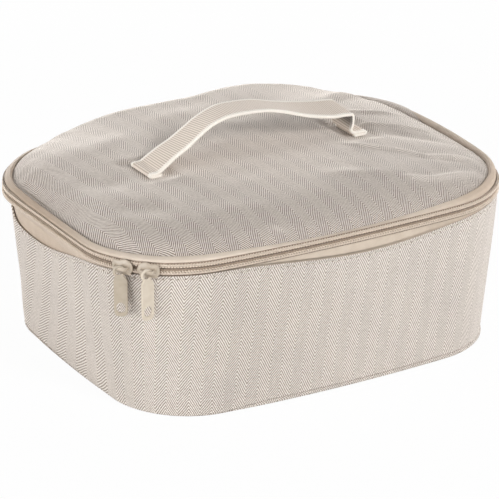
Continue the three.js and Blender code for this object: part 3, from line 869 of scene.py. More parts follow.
# base panel with its turned-up edge
basePanel = {
    "columns": 300,
    "steps": 10,
    "edge": [
        (1.0, 2.9), (-0.6, 3.0), (-1.5, 2.75), (-2.0, 2.1), (-2.0, 1.2),
        (-1.3, 0.35), (0.2, 0.0), (3.5, 0.0), (8, 0.0), (12, 0.0),
    ],
}


# rows of inset and height pairs, swept round stations of the plan
def sweptRows(stations, rows, shift=None):
    grid = np.broadcast_to(stations, (len(rows), len(stations)))
    insets = rows[:, :1] * np.ones_like(grid)
    heights = rows[:, 1:] * np.ones_like(grid)
    if shift is not None:
        insets, heights = shift(grid, insets, heights)
    return spot(grid, insets, heights), grid


# a sheet that closes over the middle, from the rows along its edge
def discSheet(sheet, shift=None):
    last = sheet["edge"][-1]
    reach = bagPlan["edgeZone"] + bagPlan["lidReach"] - last[0]
    inner = [(last[0] + reach * t * 0.995, last[1]) for t in np.linspace(0, 1, sheet["steps"] + 1)[1:]]
    rows = np.array(sheet["edge"] + inner)
    columns = sheet["columns"]
    points, grid = sweptRows(np.linspace(0, ringEnd, columns, endpoint=False), rows, shift)
    return points, gridFaces(len(rows), columns, True) + [rowFace(len(rows) - 1, columns)]


def baseShift(station, inset, height):
    lip = lipShare(station)
    return inset + 1.2 * (1 - lip) * smoothStep(3.5, -0.5, inset), height * (0.15 + 0.85 * lip)


basePoints, baseFaces = discSheet(basePanel, baseShift)
baseWeave = basePoints[..., :2].copy()
baseWeave[..., 1] += basePoints[..., 2]
baseCloth = newPiece("basePanel", basePoints, flipped(baseFaces), baseWeave)
finishPiece(baseCloth, wallCloth, "bag", "weave", "base_panel", "base_foam")

# insulated liner inside the bag
liner = {
    "columns": 240,
    "inset": 7.8,
    "foot": [(16, 7.7), (12, 7.9), (9.4, 8.8), (8.2, 10.6)],
    "low": 13,
    "top": 89.5,
    "rows": 34,
    "pucker": 0.8,
    "tuck": 0.8,
}
linerStations = np.linspace(0, ringEnd, liner["columns"], endpoint=False)
linerUp = [(liner["inset"], height) for height in np.linspace(liner["low"], liner["top"], liner["rows"])]
linerPoints, linerGrid = sweptRows(linerStations, np.array(liner["foot"] + linerUp))
linerHeights = linerPoints[..., 2]
pucker = np.abs(softNoise(linerPoints * np.array([1, 1, 0.5]), 16, 21)) * liner["pucker"]
pucker = pucker * smoothStep(88, 70, linerHeights) + liner["tuck"] * tuckUpTo(linerGrid, linerHeights)
linerPoints = linerPoints - outward(linerGrid) * pucker[..., None]
linerFaces = flipped(gridFaces(len(linerPoints), liner["columns"], True))
linerWeave = np.stack([np.interp(linerGrid, ringStations, ringPassed), linerPoints[..., 2]], -1)
wallLiner = newPiece("wallLiner", linerPoints, linerFaces, linerWeave)
finishPiece(wallLiner, linerFoil, "bag", "foil", "wall_liner")

baseLiner = {"columns": 200, "steps": 14, "edge": [(9.2, 7.3), (12, 7.75), (15, 7.85)], "ripple": 0.5}
floorPoints, floorFaces = discSheet(baseLiner)
fromEdge = np.linalg.norm(floorPoints[0] - floorPoints, axis=-1)
floorPoints[..., 2] += softNoise(floorPoints, 22, 25) * baseLiner["ripple"] * smoothStep(12, 30, fromEdge)
floorLiner = newPiece("floorLiner", floorPoints, floorFaces, floorPoints[..., :2])
finishPiece(floorLiner, linerFoil, "bag", "foil", "base_liner")


# a strip swept round part of the plan from a few inset and height pairs
def stripRound(stations, section, count, shift=None, closed=False):
    line = throughPoints(section, count)
    points, grid = sweptRows(stations, line, shift)
    across = lengthAlong(line)[:, None] * np.ones_like(grid)
    along = np.interp(wrapped(grid), ringStations, ringPassed)
    return points, gridFaces(count, len(stations), closed), np.stack([along, across], -1)


# binding over the raw edge of the wall layers
rimBinding = {
    "section": [
        (3.0, 87.6), (2.9, 90.0), (3.6, 91.1), (5.5, 91.35), (8.3, 91.1),
        (9.25, 90.1), (9.4, 86), (9.3, 82.4), (8.4, 81.6),
    ],
    "rows": 22,
    "tuck": 0.62,
}


def bindingShift(station, inset, height):
    return inset + rimBinding["tuck"] * tuckAt(station), height


rimPoints, rimFaces, rimWeave = stripRound(
    linerStations, rimBinding["section"], rimBinding["rows"], bindingShift, True
)
rimBand = newPiece("rimBinding", rimPoints, flipped(rimFaces), rimWeave)
finishPiece(rimBand, bindingCloth, "bag", "tape", "rim_binding")

# lower zip tape, which shows as a wedge where the wall's edge dips
lowerTape = {
    "section": [
        (1.5, 94.9), (1.4, 95.9), (1.0, 96.3), (0.7, 96.0), (0.6, 94),
        (0.8, 90), (1.1, 86), (1.2, 78), (1.2, 70),
    ],
    "rows": 64,
    "columns": 500,
    "recess": -0.3,
    "frontRecess": 1.5,
    "ripple": 0.22,
    # painted shade on the tape: left, front middle and right shares, then the share beside the sliders
    "paintedShade": (0.25, 0, 0.15),
    "sliderPaintedShade": 0.75,
}
tapeStations = np.linspace(4.02, 43.98, lowerTape["columns"])


def tapeShift(station, inset, height):
    fold = foldHeight(station)
    depth = lowerTape["recess"] + lowerTape["frontRecess"] * near(station, 23.5, 6)
    sunk = depth * smoothStep(fold + 1.1, fold - 0.3, height)
    return inset + tuckAt(station) * smoothStep(94.2, 83, height) + sunk, height


# painted shade: the zip's cloth is painted darker on the left, in the front middle and on the right, where it
# lies in shade
def paintedSideShade(station, left, middle, right):
    s = wrapped(station)
    rightSide = smoothStep(26.2, 29.5, s) * smoothStep(36, 31, s)
    return left * near(s, 11, 6.5) + middle * near(s, 25, 3.2) + right * rightSide


tapePoints, tapeFaces, tapeWeave = stripRound(
    tapeStations, lowerTape["section"], lowerTape["rows"], tapeShift
)
tapeRipple = softNoise(tapePoints, 24, 31) * lowerTape["ripple"] * smoothStep(95, 92, tapePoints[..., 2])
tapePoints = tapePoints + outward(np.broadcast_to(tapeStations, tapeRipple.shape)) * tapeRipple[..., None]
tapePaintedShade = paintedSideShade(tapeStations, *lowerTape["paintedShade"])
tapePaintedShade = tapePaintedShade + lowerTape["sliderPaintedShade"] * near(tapeStations, 18.6, 2.2)  # painted shade, darkest beside the sliders
lowerTapePiece = newPiece("lowerZipTape", tapePoints, flipped(tapeFaces), withThird(tapeWeave, tapePaintedShade))
finishPiece(lowerTapePiece, tapeCloth, "bag", "tape", "lower_zip_tape")
print("bag body sewn")

# carrying strap: ribbed webbing with plain edges, folded under and pressed into the lid at both ends
handleStrap = {
    "width": 25,
    "thick": 1.6,
    "end": 78.4,
    "hem": 8,
    "base": 120.9,
    "press": 1.8,
    "tab": 73,
    "route": [
        (-75, 120.9), (-72, 121.1), (-69.5, 122.4), (-66, 124.7), (-60, 128.4), (-51, 133.1), (-43, 138.3),
        (-33, 144.3), (-21, 148.2), (-8, 148.6), (6, 147.4), (16, 145.0), (29, 141.2), (41, 138.4),
        (54, 136.2), (64, 135.4), (67.6, 134.3), (68.0, 129), (66.9, 123.6), (68.8, 121.3), (72, 120.9),
        (76, 121.2),
    ],
    "roll": [
        (-72, 0), (-60, -0.7), (-50, -1.3), (-40, -1.8), (-30, -1.4), (-18, -0.4),
        (20, -0.2), (38, 1.0), (55, 1.6), (66, 1.2), (70, 0),
    ],
    "columns": 34,
    "step": 0.35,
    "rib": 0.26,
    "bead": 1.3,
    "edge": 0.5,
    # painted shade on the strap's underside at the right riser
    "shade": 0.75,
    "stitches": (70.6, 76.6),
    "stitchHalf": 10.5,
}

# lid: the crown springs from the band's seam at the front and sides and from the hinge at the back
lidPanel = {
    "columns": 600,
    "edgeRows": 22,
    "innerRows": 104,
    "crownRise": 22.6,
    "span": (133, 102),
    "reach": 16,
    "outer": -0.9,
    "shoulder": 13,
    "drop": 1.4,
    "bandFoot": 102,
    "hingeFold": 101.2,
    "leftBack": (5.6, 1.6),
    "rightBack": (8.0, 2.6),
    "rightReach": 9,
    "leftDip": 3.4,
    "thickness": 8.4,
    "weaveTurn": 3.5,
    "groove": 0.45,
    "grooveWidth": 1.1,
    "folds": ((42, 41, 0.8), (17, 43, 0.35)),
    "gather": 0.22,
    "gatherPitch": 3.1,
    # shares of painted light on the lid's cloth, at the back and at the front right
    "backPaintedLight": 0.65,
    "frontRightPaintedLight": 0.6,
}


def backShare(station):
    s = wrapped(station)
    left = smoothStep(*lidPanel["leftBack"], s)
    right = smoothStep(*lidPanel["rightBack"], ringEnd - s)
    return np.where(s < ringEnd / 2, left, right)


# along the front right the lid cloth spills over the band
def spill(station):
    return near(station, 24, 5)


# along the right side the band stands tallest, over a low seam
def rightEdge(station):
    return near(station, 36, 4)


# the band is low on the left and stands up on the right, where the lid is fuller
def bandScale(station):
    tall = 0.65 + 0.7 * rightness(station) ** 1.2 + 0.45 * rightEdge(station)
    return (tall + 0.4 * near(station, 29.5, 3.5)) * (1 - 0.95 * spill(station))


def seamInset(station):
    inset = 3.2 + 2.2 * near(station, 17.5, 5) + 1.6 * rightness(station)
    return inset * (1 - 0.5 * spill(station))


# the crown's height a run in from the seam
def crownHeight(run, station):
    leftEdge = near(station, 10.8, 4.6)
    seam = lidPanel["bandFoot"] + 2.6 * bandScale(station) - rightEdge(station) - 0.9 * leftEdge
    reach = lidPanel["reach"] + lidPanel["rightReach"] * rightness(station)
    dip = lidPanel["leftDip"] * leftEdge * np.exp(-(((run - 5) / 5) ** 2))
    dip = dip + lidPanel["groove"] * (1 - spill(station)) * np.exp(-((run / lidPanel["grooveWidth"]) ** 2))
    rise = zipHeight + lidPanel["crownRise"] - seam
    return seam + rise * (1 - np.exp(-np.maximum(run, 0) / reach)) - dip


# the lid's line at the back: a turned hem at the hinge, a straight rise and a round shoulder
def backLine(top):
    outer, fold, radius = lidPanel["outer"], lidPanel["hingeFold"], lidPanel["shoulder"]
    line = [(0.35, fold + 4), (0.3, fold + 0.4), (-0.1, fold - 0.1), (-0.6, fold + 0.05), (outer, fold + 0.6)]
    line.append((outer, top - radius))
    for angle in np.radians([15, 30, 45, 60, 75, 90]):
        line.append((outer + radius * (1 - math.cos(angle)), top - radius * (1 - math.sin(angle))))
    line = evenly(np.array(line), lidPanel["edgeRows"])
    line[-1, 0] = bagPlan["edgeZone"]
    return line


def lidProfile(station):
    normal = planPoint(rimArcs, station)[1]
    wide, deep = lidPanel["span"]
    scale = wide * normal[:, 0] ** 2 + deep * normal[:, 1] ** 2
    edge = seamInset(station)
    seam = crownHeight(0 * station, station)
    zone = bagPlan["edgeZone"]
    top = zipHeight + lidPanel["crownRise"] - lidPanel["drop"]
    frontInset, frontHeight = [], []
    for inward, below in ((2.6, -3.4), (1.3, -2.2), (0.5, -1.1)):  # the seam's turned-in edge
        frontInset.append(edge + inward)
        frontHeight.append(seam + below)
    for share in np.linspace(0, 1, lidPanel["edgeRows"] - 3) ** 1.3:
        frontInset.append(edge + (zone - edge) * share)
        frontHeight.append(crownHeight(frontInset[-1] - edge, station))
    line = backLine(top)
    backInset = [np.full_like(station, inset) for inset, height in line]
    backHeight = [np.full_like(station, height) for inset, height in line]
    for share in np.linspace(0, 1, lidPanel["innerRows"] + 1)[1:] ** 1.15:
        inset = np.full_like(station, zone + bagPlan["lidReach"] * share * 0.994)
        frontInset.append(inset)
        frontHeight.append(crownHeight(zone - edge + scale * share, station))
        backInset.append(inset)
        backHeight.append(np.full_like(station, top) + lidPanel["drop"] * smoothStep(0, 0.8, share))
    share = backShare(station)
    insets = np.array(frontInset) * (1 - share) + np.array(backInset) * share
    heights = np.array(frontHeight) * (1 - share) + np.array(backHeight) * share
    lift = 2.5 * near(station, 45.6, 2.0) + 2.4 * near(station, 40.5, 1.1)
    heights = heights + lift * smoothStep(104, 114, heights) * smoothStep(70, 14, insets)
    return insets, heights


# soft pulls and dents in the lid cloth: start, end, width, height
lidPulls = [
    ((82, 7), (122, -18), 2.0, 1.8),
    ((58, -24), (91, -60), 2.4, 1.8),
    ((86, -58), (129, -69), 2.2, 1.6),
    ((62, -83), (79, -90), 2.2, 1.4),
    ((76, -90), (116, -86), 2.2, 1.5),
    ((-44, -101), (-31, -112), 1.2, 0.7),
    ((70, 30), (122, 22), 3.2, 1.4),
    ((88, -12), (122, -38), 7.0, -1.6),
    ((86, -58), (116, -72), 5.0, -1.3),
    ((20, -60), (60, -78), 6.0, 0.9),
    ((40, 50), (96, 66), 9.0, 0.8),
    ((-120, -40), (-92, -62), 9.0, -1.6),
    ((-118, 10), (-96, -14), 10.0, -1.2),
    ((-70, -74), (-30, -86), 8.0, 0.7),
    ((-96, 40), (-60, 62), 10.0, 0.9),
    ((-40, 72), (30, 82), 9.0, 0.7),
]


def lidGive(points):
    x, y = points[..., 0], points[..., 1]
    total = np.zeros_like(x)
    crease = np.zeros_like(x)
    for (ax, ay), (bx, by), width, height in lidPulls:
        dx, dy = bx - ax, by - ay
        t = np.clip(((x - ax) * dx + (y - ay) * dy) / (dx * dx + dy * dy), -0.25, 1.25)
        gap = np.hypot(x - ax - t * dx, y - ay - t * dy)
        ends = smoothStep(-0.25, 0.3, t) * smoothStep(1.25, 0.7, t)
        total += height * ends * np.exp(-(gap / width) ** 2)
        # narrow raised pulls also carry a painted highlight along their crest
        if height > 0 and width < 3:
            crease = np.maximum(crease, ends * np.exp(-(gap / width / 1.9) ** 2))
    total += folds(points, *lidPanel["folds"])
    tabs = smoothStep(16, 8, np.abs(np.abs(x) - handleStrap["tab"])) * smoothStep(24, 14, np.abs(y))
    return total * (1 - tabs) - handleStrap["press"] * tabs, crease


lidStations = np.linspace(0, ringEnd, lidPanel["columns"], endpoint=False)
lidInsets, lidHeights = lidProfile(lidStations)
lidGrid = np.broadcast_to(lidStations, lidInsets.shape)
lidPoints = spot(lidGrid, lidInsets, lidHeights)
lidBack = backShare(lidGrid)
edgeFade = smoothStep(6, 26, np.where(lidBack > 0.5, lidHeights - 96, lidInsets))
gatherPhase = np.interp(lidGrid, ringStations, ringPassed) / lidPanel["gatherPitch"]
edgeGather = lidPanel["gather"] * np.sin(gatherPhase + 3 * softNoise(lidPoints, 30, 47))
gatherFade = smoothStep(5.5, 8, lidInsets) * smoothStep(24, 9, lidInsets) * (1 - lidBack)
lidLift, lidRidgeHighlight = lidGive(lidPoints)
lidPoints[..., 2] += lidLift * edgeFade + edgeGather * gatherFade


def weaveOnLid(points, heights, paintedLightShare):
    x = points[..., 0]
    y = points[..., 1] + (heights - 120) * np.clip(-points[..., 1] / 30, -1, 1) * 0.6
    return np.stack([*turned(x, y, -lidPanel["weaveTurn"]), paintedLightShare], -1)


# painted light: the cloth is painted paler at the back and at the front right
lidX, lidY = lidPoints[..., 0], lidPoints[..., 1]
lidPaintedLight = lidPanel["backPaintedLight"] * bell(lidX - 54, 50) * smoothStep(50, 85, lidY)
lidPaintedLight = lidPaintedLight + lidPanel["frontRightPaintedLight"] * bell(np.hypot(lidX - 75, lidY + 62), 30)
lidWeave = weaveOnLid(lidPoints, lidHeights, np.maximum(lidRidgeHighlight * smoothStep(4, 12, lidInsets), lidPaintedLight))
lidFaces = gridFaces(len(lidPoints), lidPanel["columns"], True)
lidFaces.append(rowFace(len(lidPoints) - 1, lidPanel["columns"]))
lidCover = newPiece("lidPanel", lidPoints, lidFaces, lidWeave)
finishPiece(lidCover, shadedLidCloth, "lid", "lid_weave", "lid_panel", "lid_foam")

lidLining = {"columns": 240, "fromRow": 6, "ripple": 0.6}


# the lid's liner: the same crown, one layer's depth inside
def lidInside(depth):
    stations = np.linspace(0, ringEnd, lidLining["columns"], endpoint=False)
    insets, heights = [rows[lidLining["fromRow"]:] for rows in lidProfile(stations)]
    runs = np.gradient(insets, axis=0)
    rises = np.gradient(heights, axis=0)
    size = np.maximum(np.hypot(runs, rises), 1e-6)
    grid = np.broadcast_to(stations, insets.shape)
    return spot(grid, insets + depth * rises / size, heights - depth * runs / size)


liningPoints = lidInside(lidPanel["thickness"])
liningEase = smoothStep(0, 10, np.arange(len(liningPoints)))[:, None]
liningPoints[..., 2] += softNoise(liningPoints, 20, 51) * lidLining["ripple"] * liningEase
liningFaces = gridFaces(len(liningPoints), lidLining["columns"], True)
liningFaces.append(rowFace(len(liningPoints) - 1, lidLining["columns"]))
lidLiner = newPiece("lidLiner", liningPoints, flipped(liningFaces), liningPoints[..., :2])
finishPiece(lidLiner, linerFoil, "lid", "foil", "lid_liner")

lidBinding = {
    "section": [(6.2, 103.4), (6.6, 102.2), (9.2, 99.9), (11.6, 97.9), (12.7, 97.9), (13.2, 99.0)],
    "rows": 18,
    "columns": 400,
}
zipStations = np.linspace(4.02, 43.98, lidBinding["columns"])
edgePoints, edgeFaces, edgeWeave = stripRound(zipStations, lidBinding["section"], lidBinding["rows"])
lidEdge = newPiece("lidBinding", edgePoints, edgeFaces, edgeWeave)
finishPiece(lidEdge, bindingCloth, "lid", "tape", "lid_binding")

# upper band: the zip tape's facing rolls over from the chain to the lid seam
upperBand = {
    "section": [
        (1.6, 100.6), (1.4, 99.9), (0.9, 99.8), (0.7, 100.6), (0.5, 101.5), (-0.3, 101.95), (-0.95, 102.2),
        (-1.0, 103.0), (-0.4, 104.4), (1.2, 105.4), (2.7, 105.9), (4.2, 105.75), (5.3, 105.0), (5.9, 104.0),
        (6.3, 102.6),
    ],
    "first": 3.2,
    "last": 44.4,
    "rows": 40,
    "columns": 420,
    "edge": 0.8,
    "width": 5.2,
    "bulge": 1.4,
    "backTuck": 2.2,
    "folds": ((30, 61, 0.28), (12, 63, 0.1)),
    # painted shade on the band: left, front middle and right shares
    "paintedShade": (0.55, 0.15, 0.42),
}


def bandShift(station, inset, height):
    edge = upperBand["edge"]
    foot = lidPanel["bandFoot"]
    wide = edge + (inset - edge) * (seamInset(station) - edge) / upperBand["width"]
    wide = np.where(inset > edge, wide, inset) + upperBand["bulge"] * near(station, 31.4, 2.6)
    tall = np.where(height > foot, foot + (height - foot) * bandScale(station), height)
    return np.where(height > foot - 0.2, wide, inset) + upperBand["backTuck"] * backShare(station), tall


def swollen(points, stations):
    return points + outward(stations) * folds(points, *upperBand["folds"])[..., None]


bandStations = np.linspace(upperBand["first"], upperBand["last"], upperBand["columns"])
bandPoints, bandFaces, bandWeave = stripRound(
    bandStations, upperBand["section"], upperBand["rows"], bandShift
)
bandPoints = swollen(bandPoints, np.broadcast_to(bandStations, bandPoints.shape[:2]))
# painted shade on the band along the left side, the front middle and the right side
bandWeave = withThird(bandWeave, paintedSideShade(bandStations, *upperBand["paintedShade"]))
bandPiece = newPiece("upperZipBand", bandPoints, bandFaces, bandWeave)
finishPiece(bandPiece, bandCloth, "lid", "tape", "upper_zip_tape")

# towards the back right corner the lid's cloth laps over the band, first at the seam and then all of it
lidLap = {
    "fromRow": 12,
    "columns": 120,
    "outerStart": 38.9,
    "seamStart": 36.4,
    "end": 44.4,
    "lift": 0.4,
    # share of painted light over the whole lap
    "paintedLight": 1.6,
}
lapLine = throughPoints(upperBand["section"], upperBand["rows"])[lidLap["fromRow"]:]
lapStart = np.linspace(lidLap["outerStart"], lidLap["seamStart"], len(lapLine))[:, None]
lapGrid = lapStart + (lidLap["end"] - lapStart) * np.linspace(0, 1, lidLap["columns"])
lapInset, lapHeight = bandShift(lapGrid, lapLine[:, :1] + 0 * lapGrid, lapLine[:, 1:] + 0 * lapGrid)
lapPoints = swollen(spot(lapGrid, lapInset, lapHeight), lapGrid)
lapNormal = unitRows(np.cross(np.gradient(lapPoints, axis=1), np.gradient(lapPoints, axis=0)))
lapNormal = lapNormal * np.sign((lapNormal[2] * outward(lapGrid[2])).sum(-1).mean())  # away from the bag
lapPoints = lapPoints + lapNormal * lidLap["lift"]
# painted light: the lap is painted pale all over, to lift it out of the band's shade
lapWeave = weaveOnLid(lapPoints, lapHeight, np.full_like(lapGrid, lidLap["paintedLight"]))
lap = newPiece("lidLap", lapPoints, gridFaces(*lapGrid.shape), lapWeave)
finishPiece(lap, shadedLidCloth, "lid", "lid_weave")

# hinge strip; its ends cover the ends of the zip
hingeStrip = {
    "section": [(0.9, 84), (0.75, 90), (0.65, 94), (0.65, 98), (0.65, 102), (0.75, 106)],
    "first": 43.5,
    "last": 52.5,
    "rows": 60,
    "columns": 140,
    "top": 102.3,
    "endRise": 1.6,
    "middleRise": 3.7,
}
hingeStations = np.linspace(hingeStrip["first"], hingeStrip["last"], hingeStrip["columns"])


# the strip's top edge stays behind the lid's cloth, and meets the band where the cloth draws back
def hingeShift(station, inset, height):
    share = backShare(station)
    top = hingeStrip["top"] + hingeStrip["endRise"] * (1 - share)
    top = top + hingeStrip["middleRise"] * smoothStep(0.8, 0.97, share)
    drawnTop = hingeStrip["section"][-1][1]
    lowered = zipHeight + (height - zipHeight) * (top - zipHeight) / (drawnTop - zipHeight)
    return inset, np.where(height > zipHeight, lowered, height)


hingePoints, hingeFaces, hingeWeave = stripRound(
    hingeStations, hingeStrip["section"], hingeStrip["rows"], hingeShift
)
hinge = newPiece("hingeStrip", hingePoints, hingeFaces, hingeWeave)
hinge.data.materials.append(tapeCloth)
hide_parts("hinge_strip")
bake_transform(hinge)
print("lid sewn")

# zip chain: two nylon coils sewn to the tapes, each loop modelled
zipChain = {
    "pitch": 1.78,
    "near": 1.5,
    "far": 3.1,
    "depth": 0.62,
    "middle": -0.62,
    "tube": 0.38,
    "head": 0.24,
    "skew": -0.6,
    "lean": 0.24,
    "squareness": 0.7,
    "turnSteps": 14,
    "sides": 7,
    "ends": 8,
    "thread": {"step": 0.43, "height": 2.68, "half": 0.6, "thick": 0.2, "dip": 0.16, "out": 0.18},
    "ground": {"step": 0.3, "upper": 1.95, "lower": 2.1, "thick": 0.3, "dip": 0.12, "inset": -0.25},
}
fineStations = np.linspace(4, 44, 4001)
fineLine = spot(fineStations, 0, zipHeight)
finePassed = lengthAlong(fineLine)
upward = np.array([0, 0, 1.0])


def stationAt(length):
    return np.interp(length, finePassed, fineStations)


def coilPiece(name, side):
    z = zipChain
    turns = int((finePassed[-1] - 2 * z["ends"]) / z["pitch"])
    count = turns * z["turnSteps"] + 1
    turn = np.arange(count) * 2 * np.pi / z["turnSteps"]
    length = z["ends"] + (turn / (2 * np.pi) + 0.25 * (1 + side)) * z["pitch"]
    station = stationAt(length + z["lean"] * z["pitch"] * np.sin(turn))
    middle = (z["near"] + z["far"]) / 2
    half = (z["far"] - z["near"]) / 2
    height = zipHeight + side * (middle - half * squared(np.cos(turn + z["skew"]), z["squareness"]))
    inset = z["middle"] - z["depth"] * squared(np.sin(turn), z["squareness"])
    head = np.maximum(np.cos(turn - 0.35), 0) ** 3
    line = spot(station, inset, height)
    tangent = unitRows(np.gradient(line, axis=0))
    along = unitRows(np.gradient(spot(station, 0, zipHeight), axis=0))
    first = unitRows(np.cross(tangent, along))
    second = np.cross(tangent, first)
    radius = z["tube"] + z["head"] * head
    points = line[:, None] + circles(first, second, z["sides"]) * radius[:, None, None]
    return newPiece(name, points, gridFaces(count, z["sides"], True))


def chainSteps(step):
    return np.arange(zipChain["ends"], finePassed[-1] - zipChain["ends"], step)


# the thread that holds the loops down
def coilThread(name, side, body):
    t = zipChain["thread"]
    length = chainSteps(t["step"])
    dip = t["dip"] * np.cos(2 * np.pi * length / zipChain["pitch"])
    inset = zipChain["middle"] - zipChain["depth"] - t["out"] + dip
    line = spot(stationAt(length), inset, zipHeight + side * t["height"])
    points, faces = barAlong(line, upward, t["half"], t["thick"], 10, 0.8)
    finishPiece(newPiece(name, points, faces), nylons["coilThread"], body, "coil")


# the ground each coil is sewn to; its dark colour is partly the zip's own and partly painted shade for the
# shadow between the tooth heads and along the coil's edge
def coilGround(name, side, body):
    g = zipChain["ground"]
    length = chainSteps(g["step"])
    dip = g["dip"] * np.cos(2 * np.pi * (length / zipChain["pitch"] + 0.25 * side))
    half = g["upper"] if side > 0 else g["lower"]
    line = spot(stationAt(length), dip + g["inset"], zipHeight + side * (half + 0.05))
    points, faces = barAlong(line, upward, half, g["thick"], 10, 0.6)
    finishPiece(newPiece(name, points, faces), nylons["coreCord"], body, "coil")


coilNylon = nylons["coilNylon"]
finishPiece(coilPiece("upperZipCoil", 1), coilNylon, "lid", "coil", "upper_zip_coil")
finishPiece(coilPiece("lowerZipCoil", -1), coilNylon, "bag", "coil", "lower_zip_coil")
for name, side, body in (("upper", 1, "lid"), ("lower", -1, "bag")):
    coilThread(name + "CoilThread", side, body)
    coilGround(name + "CoilGround", side, body)
print("zip chain wound")

# sliders and pullers, drawn in their own frame: along the chain, up, outward
zipSlider = {
    "pitch": 17.1,
    "length": 13.6,
    "rear": 7.6,
    "nose": 9.8,
    "tip": 5.6,
    "plate": 1.4,
    "front": 2.3,
    "rim": 3.2,
    "crown": 4.2,
    "back": 2.95,
    "bridgeLength": 9.2,
    "bridgeWidth": 2.2,
    "bridgeThick": 1.3,
    "axle": 7.102,
    "meetTurn": 220,
    "slide": {"left": 1.6, "right": 0.3},
    "waist": -1.4,
    "corners": [2.4, 2.2, 0.1, 0.1, 2.2, 2.4],
    "neckBack": 3,
    "neckHalf": (1.5, 0.33),
    "lipHalf": 5.6,
    "lipRise": (-0.9, 0.3),
}


def rectangle(left, right, bottom, top):
    return [(left, bottom), (right, bottom), (right, top), (left, top)]


def roundedOutline(corners, radius, steps):
    corners = np.asarray(corners, float)
    radii = np.broadcast_to(radius, len(corners))
    outline = []
    for index, corner in enumerate(corners):
        before = corners[index - 1] - corner
        after = corners[(index + 1) % len(corners)] - corner
        toBefore, toAfter = np.linalg.norm(before), np.linalg.norm(after)
        size = min(radii[index], toBefore / 2, toAfter / 2)
        start = corner + before / toBefore * size
        end = corner + after / toAfter * size
        for t in np.linspace(0, 1, steps):
            outline.append(((1 - t) ** 2 * start + 2 * t * (1 - t) * corner + t * t * end).tolist())
    return outline


def seatOnZip(points, turn):
    out = np.array([math.cos(turn), math.sin(turn), 0])
    along = np.array([-out[1], out[0], 0])
    origin = np.array([*zipCorner, zipHeight]) + out * rimArcs["radii"][1]
    return origin + points[:, :1] * along + points[:, 1:2] * upward + points[:, 2:] * out


# a cast plate: rounded rim, gently domed face
def domedPlate(outline, low, rim, crown):
    outline = np.asarray(outline, float)
    count = len(outline)
    middle = outline.mean(0)
    rows = [(0.93, low), (0.98, low + 0.12), (1.0, low + 0.4)]
    rows += [(0.995, rim - 0.35), (0.965, rim - 0.08), (0.9, rim + 0.14)]
    for share in (0.75, 0.58, 0.4, 0.2):
        rows.append((share, rim + 0.14 + (crown - rim - 0.14) * (1 - (share / 0.9) ** 2)))
    points = []
    for share, height in rows:
        points.append(np.column_stack([middle + (outline - middle) * share, np.full(count, height)]))
    faces = gridFaces(len(rows), count, True)
    faces.append(rowFace(0, count)[::-1])
    faces.append(rowFace(len(rows) - 1, count))
    return np.concatenate(points), faces


def sliderParts(nose):
    z = zipSlider
    end, rear, half = z["length"] / 2, z["rear"] / 2, z["nose"] / 2
    tip, waist = z["tip"], z["waist"]
    front, back = z["front"], z["back"]
    corners = [(-end, -rear), (waist, -rear), (end - tip, -half)]
    corners += [(x, -y) for x, y in corners[::-1]]
    body = roundedOutline(corners, z["corners"], 8)
    arc = []
    for angle in np.linspace(-math.pi / 2, math.pi / 2, 26):
        arc.append((end - tip + tip * math.cos(angle), half * math.sin(angle)))
    outline = [(x * nose, y) for x, y in body[:16] + arc + body[32:]][::nose]
    parts = [domedPlate(outline, front, z["rim"], z["crown"])]
    parts.append(plateFrom([outline], -back - z["plate"], -back, 0.4))
    neckAt = nose * (end - z["neckBack"])
    long, thick = z["neckHalf"]
    neck = rectangle(neckAt - long, neckAt + long, -thick, thick)
    parts.append(plateFrom([roundedOutline(neck, 0.3, 3)], -back - 0.6, front + 0.6, 0.05))
    lip = rectangle(-z["lipHalf"], z["lipHalf"], -rear + z["lipRise"][0], -rear + z["lipRise"][1])
    parts.append(plateFrom([roundedOutline(lip, 0.5, 4)], front - 0.8, front + 0.9, 0.3))
    reach = z["bridgeLength"] / 2 - 0.6
    top, foot = z["axle"], z["rim"]
    arch = roundedOutline([(-reach, foot), (-reach, top), (reach, top), (reach, foot)], 3.0, 9)
    path = np.array([[-reach, 0, foot]] + [[x, 0, out] for x, out in arch[9:27]] + [[reach, 0, foot]])
    wide, thick = z["bridgeWidth"] / 2, z["bridgeThick"] / 2
    parts.append(barAlong(evenly(path, 40), np.array([0, 1.0, 0]), wide, thick))
    return parts


# a flat puller: an open eye on the bridge and a tab with a hole, hanging a little turned
zipPuller = {
    "eye": 3.05,
    "wire": 0.82,
    "eyeDrop": 1.5,
    "eyeGap": 34,
    "yaw": {"left": 24, "right": 46},
    "neck": 4.4,
    "width": 8.4,
    "length": 31,
    "thick": 1.6,
    "hole": (5.4, 6.6),
    "holeUp": 5.6,
    "face": 7.1,
    "hang": 5.4,
}


